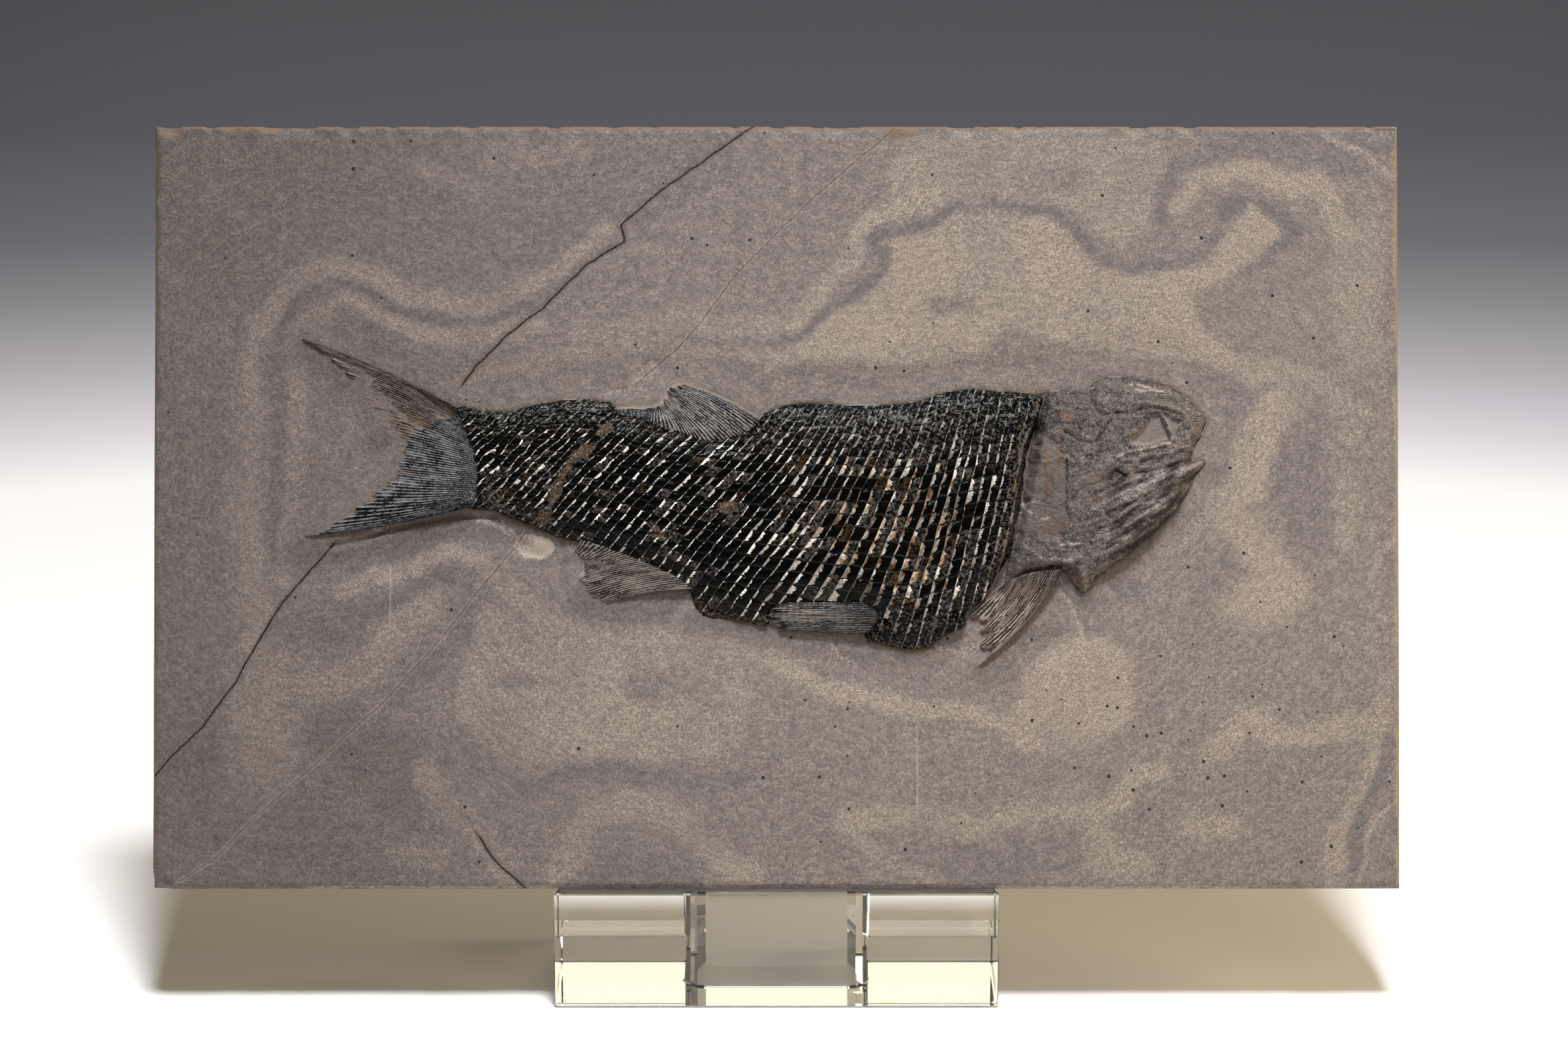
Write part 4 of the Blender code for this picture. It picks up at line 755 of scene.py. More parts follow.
def fossil_enamel(colours):
    """Ganoine, the enamel of ganoid scales, polished by nature: black mirrors with chalky, broken edges,
    brightened by painted highlight.
    """
    material, tree, shader = new_material("polished black ganoine")
    spot = face_millimetres(tree)
    across, along, matrix, granular, warm = attributes(
        tree, "scale_across", "scale_along", "matrix", "granular", "warm")
    u = add(tree, "Math", [across], operation="FRACT")
    v = add(tree, "Math", [along], operation="FRACT")
    i = add(tree, "Math", [across], operation="FLOOR")
    j = add(tree, "Math", [along], operation="FLOOR")
    which = add(tree, "CombineXYZ", [i, j])
    lot = add(tree, "TexWhiteNoise", {"Vector": which}, noise_dimensions="3D")
    draws = add(tree, "SeparateColor", {"Color": lot.outputs["Color"]})

    # Breaks in the edges are 0.2 to 0.5 mm long, blotches on the faces about 1 mm
    breaks = add(tree, "TexNoise", {"Vector": spot, "Scale": 2.4, "Detail": 3.0, "Roughness": 0.7})
    blotch = add(tree, "TexNoise", {"Vector": spot, "Scale": 0.8, "Detail": 3.0, "Roughness": 0.6})
    fine = add(tree, "TexNoise", {"Vector": spot, "Scale": 5.0, "Detail": 2.0, "Roughness": 0.6})

    from_joint = add(tree, "Math", [v, 0.5], operation="SUBTRACT")
    from_joint = add(tree, "Math", [from_joint], operation="ABSOLUTE")
    middle = add(tree, "MapRange", [from_joint, 0.48, 0.34])
    wide = add(tree, "Math", [warm, draws.outputs[2]], operation="MULTIPLY")
    reach = add(tree, "Math", [draws.outputs[0], draws.outputs[0]], operation="MULTIPLY")
    reach = add(tree, "Math", [reach, 0.26, -0.01], operation="MULTIPLY_ADD")
    reach = add(tree, "Math", [wide, 0.78, reach], operation="MULTIPLY_ADD")
    reach = add(tree, "Math", [reach, middle], operation="MULTIPLY")
    broken = add(tree, "Math", [breaks, 0.6, -0.31], operation="MULTIPLY_ADD")
    reach = add(tree, "Math", [reach, broken], operation="ADD")
    # The pale strip along each scale's tailward edge: partly chalky enamel, partly painted highlight
    inner = add(tree, "Math", [reach, u], operation="SUBTRACT")
    edge = add(tree, "MapRange", [inner, -0.015, 0.03], interpolation_type="SMOOTHSTEP")
    joint = add(tree, "MapRange", [from_joint, 0.465, 0.5, 0.0, 0.17])
    line = add(tree, "MapRange", [u, 0.07, 0.02, 0.0, 0.16])

    # Cream edges turn tan and amber in patches, most in the coat's front half
    tan = add(tree, "Math", [blotch, warm], operation="ADD")
    tan = add(tree, "MapRange", [tan, 0.75, 1.2], interpolation_type="SMOOTHSTEP")
    cream = layered(tree, colours.enamel_edge_and_glint, [(tan, colours.amber)])
    dim = add(tree, "MapRange", [fine, 0.32, 0.52, 0.25, 1.0])
    cream = add(tree, "VectorMath", {0: cream, "Scale": dim}, operation="SCALE")
    dim = add(tree, "MapRange", [draws.outputs[1], 0.0, 1.0, 0.3, 1.35])
    cream = add(tree, "VectorMath", {0: cream, "Scale": dim}, operation="SCALE")

    # Some faces get a painted smoky sheen, most of them in the warm patch, where a few are brown
    limit = add(tree, "MapRange", [warm, 0.1, 0.52, 0.86, 0.6])
    odd = add(tree, "Math", [draws.outputs[1], limit], operation="GREATER_THAN")
    cloud = add(tree, "MapRange", [breaks, 0.42, 0.65, 0.0, 0.8], interpolation_type="SMOOTHSTEP")
    painted_smoky_sheen = add(tree, "Math", [odd, cloud], operation="MULTIPLY")
    scarce = add(tree, "Math", [warm, 0.2], operation="MULTIPLY")
    brown = add(tree, "Math", [draws.outputs[2], scarce], operation="LESS_THAN")
    brown = add(tree, "Math", [brown, cloud], operation="MULTIPLY")
    rub = add(tree, "MapRange", [fine, 0.5, 0.62], interpolation_type="SMOOTHSTEP")
    lumps = add(tree, "MapRange", [breaks, 0.51, 0.62], interpolation_type="SMOOTHSTEP")
    grains = layered(tree, colours.enamel, [(lumps, linear("#5d5a58"))])
    dirt = add(tree, "Math", [breaks, 0.5], operation="SUBTRACT")
    dirt = add(tree, "Math", [dirt, 1.4, matrix], operation="MULTIPLY_ADD")
    dirt = add(tree, "MapRange", [dirt, 0.42, 0.62], interpolation_type="SMOOTHSTEP")
    ground_tint = layered(tree, linear("#453a32"), [(rub, linear("#7e6f61"))])

    colour = layered(tree, colours.enamel, [
        (painted_smoky_sheen, linear("#5c5752")), (brown, linear("#4a3826")), (joint, linear("#8c867f")),
        (line, linear("#a09789")), (edge, cream), (granular, grains), (dirt, ground_tint)])
    dull = add(tree, "Math", [dirt, 0.6, 0.09], operation="MULTIPLY_ADD")
    dull = add(tree, "Math", [edge, 0.12, dull], operation="MULTIPLY_ADD")
    shader.inputs["IOR"].default_value = 1.6
    sheen = add(tree, "MapRange", [granular, 0.0, 1.0, 0.05, 0.06])
    tree.links.new(sheen.outputs[0], shader.inputs["Specular IOR Level"])
    wave = add(tree, "Math", [fine, 0.5, breaks], operation="MULTIPLY_ADD")
    surface(tree, shader, colour, dull, wave, 0.08 * MM, 0.6)
    return material


def fossil_bone(colours):
    """Phosphatic bone, pressed flat and cleaned: satin grey-brown, with glossy grains that catch light."""
    material, tree, shader = new_material("glossy grained fossil bone")
    spot = face_millimetres(tree)
    ridge, matrix, plate, vein, nape, chalk = attributes(
        tree, "ridge", "matrix", "plate", "vein", "nape", "chalk")
    # Grains of 0.2 to 0.4 mm over patches of about 2 mm
    patch = add(tree, "TexNoise", {"Vector": spot, "Scale": 0.5, "Detail": 4.0, "Roughness": 0.6})
    grain = add(tree, "TexNoise", {"Vector": spot, "Scale": 2.6, "Detail": 3.0, "Roughness": 0.75})
    fine = add(tree, "TexNoise", {"Vector": spot, "Scale": 5.0, "Detail": 2.0, "Roughness": 0.7})
    worn = add(tree, "Math", [ridge, 0.9, patch], operation="MULTIPLY_ADD")
    worn = add(tree, "Math", [grain, 1.5, worn], operation="MULTIPLY_ADD")
    worn = add(tree, "Math", [nape, -0.12, worn], operation="MULTIPLY_ADD")
    worn = add(tree, "MapRange", [worn, 0.9, 1.75])
    colour = layered(tree, colours.bone_dark, [(worn, colours.bone_light)])
    smooth_plate = layered(tree, linear("#443c36"), [(patch, linear("#83766b"))])
    black = add(tree, "Math", [nape, -0.03, fine], operation="MULTIPLY_ADD")
    black = add(tree, "MapRange", [black, 0.44, 0.34])
    black = add(tree, "Math", [black, 0.8], operation="MULTIPLY")
    inside = add(tree, "Math", [1.0, plate], operation="SUBTRACT")
    black = add(tree, "Math", [black, inside], operation="MULTIPLY")
    # Painted glints: bluish-white specks, more of them on the ridges, fewer on the plates
    shine = add(tree, "Math", [ridge, 0.22, fine], operation="MULTIPLY_ADD")
    shine = add(tree, "MapRange", [shine, 0.61, 0.69, 0.0, 0.75])
    shine = add(tree, "Math", [shine, inside], operation="MULTIPLY")
    edge = add(tree, "Math", [grain, 0.5], operation="SUBTRACT")
    fill = add(tree, "Math", [edge, 1.0, matrix], operation="MULTIPLY_ADD")
    fill = add(tree, "MapRange", [fill, 0.42, 0.56], interpolation_type="SMOOTHSTEP")
    stone = layered(tree, colours.stone_dark, [(grain, colours.stone_light)])
    rust = add(tree, "Math", [vein, patch], operation="MULTIPLY")
    colour = layered(tree, colour, [
        (plate, smooth_plate), (rust, linear("#7d4f30")), (black, linear("#12100e")),
        (shine, linear("#bcc0c4")), (chalk, linear("#cbbfb3")), (fill, stone)])
    dull = add(tree, "MapRange", [grain, 0.35, 0.65, 0.45, 0.2])
    dull = add(tree, "Math", [fill, 0.4, dull], operation="MULTIPLY_ADD")
    relief = add(tree, "Math", [fine, 0.8, grain], operation="MULTIPLY_ADD")
    calm = add(tree, "MapRange", [plate, 0.0, 1.0, 1.0, 0.45])
    relief = add(tree, "Math", [relief, calm], operation="MULTIPLY")
    surface(tree, shader, colour, dull, relief, 0.2 * MM, 1.0)
    shader.inputs["Specular IOR Level"].default_value = 0.3
    return material


def ray_bone(name, dark, light, stone, gloss):
    """Fin rays of fossil bone: fine parallel rods with a satin sheen, jointed across, over bare stone."""
    material, tree, shader = new_material(name)
    spot = face_millimetres(tree)
    across, out, film, warm, glint, root = attributes(
        tree, "ray_across", "ray_out", "film", "warm", "glint", "near_root")
    grain = add(tree, "TexNoise", {"Vector": spot, "Scale": 2.4, "Detail": 4.0, "Roughness": 0.7})
    fine = add(tree, "TexNoise", {"Vector": spot, "Scale": 5.0, "Detail": 2.0, "Roughness": 0.6})
    # Streaks about three rays wide, broken up down to fibres finer than a ray
    strand = add(tree, "CombineXYZ", [across, out])
    strand = add(tree, "Mapping", {"Vector": strand, "Scale": (0.36, 0.3, 1.0)})
    strand = add(tree, "TexNoise", {"Vector": strand, "Scale": 1.0, "Detail": 4.0, "Roughness": 0.75})
    turn = add(tree, "Math", [across, 2 * math.pi], operation="MULTIPLY")
    rod = add(tree, "Math", [turn], operation="COSINE")
    rod = add(tree, "MapRange", [rod, 0.2, -0.9])
    knuckle = add(tree, "Math", [out, 1.0], operation="FRACT")
    knuckle = add(tree, "MapRange", [knuckle, 0.12, 0.3, 0.55])
    streak = add(tree, "Math", [rod, knuckle], operation="MULTIPLY")
    streak = add(tree, "Math", [grain, 0.9, streak], operation="MULTIPLY_ADD")
    streak = add(tree, "Math", [strand, 4.8, streak], operation="MULTIPLY_ADD")
    streak = add(tree, "Math", [root, -0.45, streak], operation="MULTIPLY_ADD")
    streak = add(tree, "MapRange", [streak, 2.95, 3.7])
    colour = layered(tree, dark, [(streak, light)])
    brown = layered(tree, linear("#1d1713"), [(streak, linear("#75675b"))])
    # Painted glints: bluish-white specks where the mesh's glint asks for them
    shine = add(tree, "Math", [glint, 0.35, fine], operation="MULTIPLY_ADD")
    shine = add(tree, "MapRange", [shine, 0.71, 0.8])
    bare = add(tree, "Math", [strand, 0.5], operation="SUBTRACT")
    bare = add(tree, "Math", [bare, 2.8, film], operation="MULTIPLY_ADD")
    bare = add(tree, "MapRange", [bare, 0.58, 0.42], interpolation_type="SMOOTHSTEP")
    ground_tint = add(tree, "MapRange", [grain, 0.3, 0.7, 0.7, 1.3])
    ground_tint = add(tree, "VectorMath", {0: stone, "Scale": ground_tint}, operation="SCALE")
    colour = layered(tree, colour, [(warm, brown), (shine, linear("#c5ccd4")), (bare, ground_tint)])
    dull = add(tree, "Math", [bare, 0.5, gloss], operation="MULTIPLY_ADD")
    relief = add(tree, "Math", [fine, 0.5, grain], operation="MULTIPLY_ADD")
    surface(tree, shader, colour, dull, relief, 0.07 * MM, 0.7)
    shader.inputs["Specular IOR Level"].default_value = 0.22
    return material


def clear_acrylic():
    """Cast acrylic, cut and flame-polished: clear as water, with faint wiping scratches on its faces."""
    material, tree, shader = new_material("flame-polished clear acrylic")
    shader.inputs["Base Color"].default_value = (*linear("#fbfcfc"), 1)
    shader.inputs["Transmission Weight"].default_value = 1.0
    shader.inputs["IOR"].default_value = 1.49
    spot = add(tree, "TexCoord")
    # Scratches about 6 mm long, each a fraction of a millimetre wide
    stretch = add(tree, "Mapping", {"Vector": spot.outputs["Object"], "Rotation": (0.3, 0.2, 0.5),
                                    "Scale": (160.0, 2500.0, 2500.0)})
    scratch = add(tree, "TexNoise", {"Vector": stretch, "Scale": 1.0, "Detail": 2.0})
    dull = add(tree, "MapRange", [scratch, 0.66, 0.74, 0.015, 0.22])
    tree.links.new(dull.outputs[0], shader.inputs["Roughness"])
    return material


def crack_distance(runs, a, b, wander):
    """How far each place is from the nearest run, with its side as the sign, and a natural wander."""
    best = np.full(np.shape(a), FAR)
    for run in runs:
        away, side = nearest(run, a, b)
        signed = away * side
        best = np.where(away < np.abs(best), signed, best)
    return best + wander * (rough(a, b, 2.4, 31, 2) + 0.9 * rough(a, b, 0.8, 37))


def layer_tones(a, b):
    """How light or dark the stone's layers are at each place, their edges bent by a natural wander."""
    tone = np.full(a.shape, PLAIN_TONE)
    bent_a = a + 0.9 * rough(a, b, 8.0, 101, 3)
    bent_b = b + 0.9 * rough(a, b, 8.0, 107, 3)
    strength = np.clip(0.78 + 0.4 * rough(a, b, 9.0, 113, 2), 0, 1)
    for shade, width, line in LAYERS:
        if width:
            cover = smooth(1.4, 0.45, nearest(curve(line, False, 3), bent_a, bent_b)[0] / width)
        else:
            cover = smooth(0.9, -0.9, outside(curve(line, True, 2), bent_a, bent_b))
        cover *= strength
        tone = tone * (1 - cover) + shade * cover
    return tone


def steps(low, high, size):
    """Even places from low up to just short of high, about size apart."""
    return list(np.linspace(low, high, max(1, round((high - low) / size)), endpoint=False))


class FOSSIL_OT_limestone_slab(bpy.types.Operator):
    """Models the limestone slab round the fish"""

    bl_idname = "fossil.limestone_slab"
    bl_label = "Limestone slab"

    def execute(self, context):
        sizes = context.scene.fossil_sizes
        half = SLAB_WIDTH / 2
        step = sizes.stone_step / MM
        across = [-half + x for x in EDGE_STEPS] + steps(-half + SIDE_BAND, half - SIDE_BAND, step)
        across += [half - SIDE_BAND] + [half - x for x in reversed(EDGE_STEPS)]
        low, high = FISH_BAND
        up = EDGE_STEPS + steps(END_BAND, low, COARSE_STEP) + steps(low, high, FINE_STEP)
        up += steps(high, SLAB_HEIGHT - END_BAND, COARSE_STEP) + [SLAB_HEIGHT - END_BAND]
        up += [SLAB_HEIGHT - x for x in reversed(EDGE_STEPS)]
        a, b = np.meshgrid(np.array(across), np.array(up))
        n = ground(a, b)

        coat = outside(curve(COAT_OUTLINE, True, 3), a, b)
        head = outside(curve(SKULL_OUTLINE, True, 3), a, b)
        body = np.minimum(coat, head)
        whole = body.copy()
        for fin in FINS:
            whole = np.minimum(whole, outside(fin.outline(), a, b))
        slope = np.gradient(whole, b[:, 0], axis=0)
        n = np.where(body < 0.15, n - 0.7 * smooth(0.15, -0.4, body), n)

        crack = crack_distance(OPEN_CRACK, a, b, 0.08)
        filled = crack_distance(FILLED_CRACK, a, b, 0.08)
        n -= sizes.crack_depth / MM * np.exp(-(crack / 0.22) ** 2) + 0.05 * np.exp(-(filled / 0.35) ** 2)
        hair = np.full(a.shape, FAR)
        for line in HAIRLINES:
            hair = np.minimum(hair, np.abs(nearest(line, a, b)[0] + 0.05 * rough(a, b, 1.5, 41)))
        bruise = np.zeros(a.shape)
        for line, width in BRUISES:
            spread = nearest(line, a, b)[0] / width + 0.25 * rough(a, b, 0.9, 51, 2)
            bruise = np.maximum(bruise, 0.55 * smooth(1.6, 0.2, spread))
        n -= 0.12 * smooth(0.2, 0.5, bruise)
        tilted = (a - SCAR[0]) * 0.97 - (b - SCAR[1]) * 0.24, (b - SCAR[1]) * 0.97 + (a - SCAR[0]) * 0.24
        flake = np.hypot(tilted[0] / 3.1, tilted[1] / 1.75) + 0.12 * rough(a, b, 1.3, 53, 2)
        n -= smooth(1.04, 0.8, flake) * (0.36 - 0.15 * tilted[1] / 1.75 + 0.12 * rough(a, b, 1.1, 59, 2))
        bruise = np.maximum(bruise, (0.78 + 0.3 * rough(a, b, 1.4, 57, 2)) * smooth(1.08, 0.8, flake))

        # Flaked steps under the tail and the belly, a fraction of a millimetre each
        flaked = smooth(1.0, 0.0, np.hypot((a + 44) / 17, (b - 41) / 7))
        flaked = flaked + smooth(1.0, 0.0, np.hypot((a - 33) / 9, (b - 33) / 6))
        field = 2.2 * rough(a, b, 6.0, 61, 3)
        n -= 0.22 * flaked * (np.floor(field) + smooth(0.0, 0.18, field - np.floor(field)))
        n -= 0.35 * smooth(0.65, 0.15, nearest(TAIL_FOOT, a, b)[0]) * (whole > 0)

        # Worn arrises, nicks along the top and the missing corner
        from_edge = np.minimum(np.minimum(a + half, half - a), np.minimum(b, SLAB_HEIGHT - b))
        wear = 0.55 + 0.3 * rough(a, b, 2.2, 71, 2)
        n -= 0.7 * smooth(1.0, 0.0, from_edge / wear) ** 1.5
        nick = np.clip(rough(a, 0 * b, 2.6, 81, 2) - 0.35, 0, 1) * smooth(1.6, 0.0, SLAB_HEIGHT - b)
        chip = smooth(2.6, 0.8, a + half + b + 0.4 * rough(a, b, 0.9, 83))
        n -= 1.1 * nick + 1.3 * chip
        n = np.clip(n, -2.4, 0.0)
        laid_b = b - 0.5 * nick * (b > SLAB_HEIGHT - 0.5)

        still = smooth(4.0, 0.6, whole)
        tone = layer_tones(a, b) * (1 - still) + PLAIN_TONE * still
        # Painted shade: darker towards the left, the bottom and the lower left corner, and below the fish;
        # the stone is also darker in thin bands along the top and right edges
        painted_shade = 0.75 * smooth(5, -80, a + 4 * rough(a, b, 9, 91)) + 0.35 * smooth(35, 0, b)
        painted_shade += (0.3 * smooth(26, 0, np.hypot((a + 82) * 0.6, b + 2))
                 + 0.1 * smooth(70, 98, b) * smooth(40, 0, a))
        painted_shade += 0.3 * smooth(2.0, 0.0, SLAB_HEIGHT - b) + 0.25 * smooth(2.0, 0.0, half - a)
        painted_shade += 0.6 * smooth(-0.3, -0.8, slope) * smooth(7.0, 0.5, whole)
        pitted = 0.05 + 0.45 * smooth(34, 6, np.hypot(a - 58, b - 24))
        pitted += 0.15 * smooth(20, 5, np.abs(b - 18)) * (a > -10)
        pitted += (0.3 * smooth(3.0, 0.5, nearest(OPEN_CRACK[1][-3:], a, b)[0])
                   + 0.1 * smooth(30, 5, np.abs(b - 90)))
        rust = np.zeros(a.shape)
        for line, width in RUST:
            spread = nearest(line, a, b)[0] / width + 0.3 * rough(a, b, 0.9, 121, 2)
            rust = np.maximum(rust, smooth(1.5, 0.3, spread))
        # No wall stands round the torn lobe or behind the tail
        from_fish = np.abs(whole) + 3 * smooth(1.0, -0.5, outside(TORN_LOBE, a, b))
        from_fish += 3 * smooth(1.6, 0.6, nearest(TAIL_NOTCH, a, b)[0])

        def squared(x, y):
            """The places drawn out to the slab's sawn outline."""
            return np.stack([np.clip(x, -half, half),
                             np.where(y > SLAB_HEIGHT - 1.5, SLAB_HEIGHT, y)], axis=1)

        def inset(x, y):
            """The places drawn in a little, for the worn rear edges."""
            return np.stack([np.clip(x, REAR_WEAR - half, half - REAR_WEAR),
                             np.clip(y, REAR_WEAR, SLAB_HEIGHT - REAR_WEAR)], axis=1)

        slab = Sheet(a, laid_b, n, [
            (SAWN_FROM, squared), (-SLAB_THICKNESS + REAR_WEAR, squared), (-SLAB_THICKNESS, inset)])
        slab.finish("limestone_slab", "matrix_slab", limestone(context.scene.fossil_colours), {
            "tone": tone, "from_fish": np.clip(from_fish, 0, 60), "above_fish": slope,
            "from_open_crack": crack, "from_filled_crack": filled, "from_hairline": hair,
            "bruise": bruise, "rust": rust, "pitted": pitted, "painted_shade": np.clip(painted_shade, 0, 1)
        }, sharp=50, behind={
            "tone": 0.0, "from_fish": 30.0, "above_fish": 0.0, "from_open_crack": FAR,
            "from_filled_crack": FAR, "from_hairline": FAR, "bruise": 0.0, "rust": 0.0,
            "pitted": 0.05, "painted_shade": 0.3})
        return {"FINISHED"}


def row_climb(a, part):
    """How steeply a row climbs, in radians."""
    places = [place for place, _ in ROW_CLIMB]
    low, middle, high = (np.interp(a, places, [angles[k] for _, angles in ROW_CLIMB]) for k in range(3))
    lower = low + (middle - low) * 2 * part
    upper = middle + (high - middle) * (2 * part - 1)
    return np.radians(np.where(part < 0.5, lower, upper))


def between(a, part):
    """How high the line runs that is a part of the way from the belly to the back."""
    belly = heights(BELLY_LINE, a)
    return belly + part * (heights(BACK_LINE, a) - belly)


def row_place(start, part):
    """Where the row that crosses the mid line at start stands, a part of the way from belly to back."""
    a = start.copy()
    count = 12
    reach = (part - 0.5) / count
    for i in range(count):
        here = np.clip(0.5 + reach * (i + 0.5), 0.0, 1.0)
        rise = between(a + SLOPE_REACH, here) - between(a - SLOPE_REACH, here)
        a += (reach * (between(a, 1.0) - between(a, 0.0))
              / (np.tan(row_climb(a, here)) - rise / (2 * SLOPE_REACH)))
    return a, between(a, part)


class FOSSIL_OT_scale_coat(bpy.types.Operator):
    """Models the coat of scales, each with its own face, broken edge and joints"""

    bl_idname = "fossil.scale_coat"
    bl_label = "Scale coat"

    def execute(self, context):
        sizes = context.scene.fossil_sizes
        starts = [FIRST_ROW]
        while starts[-1] < LAST_ROW:
            starts.append(starts[-1] + float(heights(ROW_SPACING, starts[-1])))
        starts = np.array(starts)
        wide = len(STEP_PLACES)
        tall = len(JOINT_PLACES)
        columns = wide * (len(starts) - 1) + 1
        rows = tall * (len(SCALE_JOINTS) - 1) + 1
        c, r = np.meshgrid(np.arange(columns), np.arange(rows))
        i = np.minimum(c // wide, len(starts) - 2)
        j = np.minimum(r // tall, len(SCALE_JOINTS) - 2)
        u = np.where(c == columns - 1, 1.0, np.array(STEP_PLACES)[c % wide])
        v = np.where(r == rows - 1, 1.0, np.array(JOINT_PLACES)[r % tall])
        joints = np.array(SCALE_JOINTS)
        shift = 0.14 * lattice(i, j, 5) * (joints[j + 1] - joints[j]) * np.minimum(u, 1 - u) * 4
        shift = np.where((j > 0) & (j < len(joints) - 2), shift, 0.0)
        part = joints[j] + (joints[j + 1] - joints[j]) * v + shift
        start = starts[i] + (starts[i + 1] - starts[i]) * u
        a, b = row_place(start, part)
        loose = 0.1 + 0.12 * smooth(-24, -34, a)
        a = a + loose * rough(a, b, 1.7, 3, 2)
        b = b + loose * rough(a, b, 1.7, 8, 2)

        # Small scales: along the back, deeper towards the head, and at the belly's front and rear ends
        front = smooth(2, 18, a)
        belly_ends = np.maximum(smooth(6, 15, a), smooth(-25, -31, a))
        shoulder = nearest(SHOULDER, a, b)[0]
        granular = np.maximum.reduce([
            smooth(0.76 - 0.07 * front, 0.93 - 0.08 * front, part),
            smooth(24, 31.5, a) * smooth(0.5, 0.75, part),
            0.35 * smooth(0.1, 0.02, part),
            0.9 * smooth(0.24, 0.08, part) * belly_ends,
            0.95 * smooth(3.4, 0.5, shoulder + 0.5 * rough(a, b, 1.2, 45, 2))])
        band, _ = nearest(curve(MATRIX_BAND, False, 3), a, b)
        dirty = np.maximum.reduce([
            (smooth(1.05, 0.25, band + 0.4 * rough(a, b, 1.2, 13, 2))
             * (0.66 + 0.25 * rough(a, b, 2.2, 63, 2))),
            0.6 * smooth(2.6, 0.8, np.hypot(a + 30, (b - 47.5) * 1.4)),
            0.5 * smooth(3.5, 1.0, np.hypot(a + 36, b - 50)),
            0.5 * smooth(0.06, 0.0, part),
            0.49 * smooth(2.8, 0.2, shoulder + 0.5 * rough(a, b, 1.1, 47)),
            0.62 * smooth(1.9, 0.5, np.hypot((a + 6.3) * 0.7, b - 48.9)),
            0.6 * smooth(1.6, 0.4, np.hypot(a + 15.2 + 0.7 * (b - 45.8), (b - 45.8) * 0.6))])

        swell = 1 - np.abs(2 * part - 1) ** 4.2
        n = FISH_RIM + (heights(BODY_SWELL, a) - FISH_RIM) * np.clip(swell, 0, None) ** 0.75
        settle = 0.8 * smooth(5.0, 0.0, nearest(TAIL_ROOT, a, b)[0])
        n = n * (1 - settle) + 0.3 * settle
        for line, height in (
                (PELVIC_EDGE, 0.3), (DORSAL_BASE, 0.3), (ANAL_BASE, 0.2), (PECTORAL_EDGE, 0.5)):
            near = 0.9 * smooth(3.0, 0.0, nearest(line, a, b)[0])
            n = n * (1 - near) + height * near
        n += 0.05 * rough(a, b, 4.0, 17, 2)
        step = np.interp(u, STEP_PLACES + [1.0], STEP_HEIGHTS + [0.0])
        joint = np.interp(v, JOINT_PLACES + [1.0], JOINT_HEIGHTS + [-1.0])
        tilt = (0.08 * lattice(i, j, 21) * (u - 0.5) + 0.08 * lattice(i, j, 22) * (v - 0.5)
                + 0.03 * lattice(i, j, 23))
        inner = np.minimum(np.minimum(u, 1 - u), np.minimum(v, 1 - v) * 1.5) > 0.05
        scale = sizes.scale_step / MM * step + sizes.joint_dip / MM * joint + tilt * inner
        scale *= 1 - 0.5 * granular
        scale *= 1 - 0.75 * dirty
        n += (scale + 0.14 * granular * rough(a, b, 0.5, 27, 2) - 0.22 * dirty
              + 0.1 * dirty * rough(a, b, 0.8, 29, 2))

        edge = outside(curve(COAT_OUTLINE, True, 3), a, b) + 0.14 * rough(a, b, 0.9, 33, 2)
        under_skull = (a > 26) & (shoulder < 2.2) & (edge > 0)
        drop = np.where(under_skull, n - 2.2 * edge, n - SIDE_DROP * np.clip(edge, 0, 1))
        n = np.where(edge > 0, np.maximum(drop, FISH_SUNK), n)

        warm = np.maximum.reduce([
            0.42 * smooth(20, 6, np.hypot((a - 15) * 0.9, b - 46)) + 0.1,
            0.35 * smooth(9, 3, np.hypot(a + 32, b - 51)),
            0.45 * smooth(4, 1, np.hypot((a - 29) * 1.4, (b - 47) * 0.5))])
        coat = Sheet(a, b, n, [(FISH_FLOOR, None)])
        look = fossil_enamel(context.scene.fossil_colours)
        coat.finish("ganoid_scales", "scale_coat", look, {
            "scale_across": i + u, "scale_along": j + v, "matrix": dirty, "granular": granular * 0.7,
            "warm": warm})
        return {"FINISHED"}


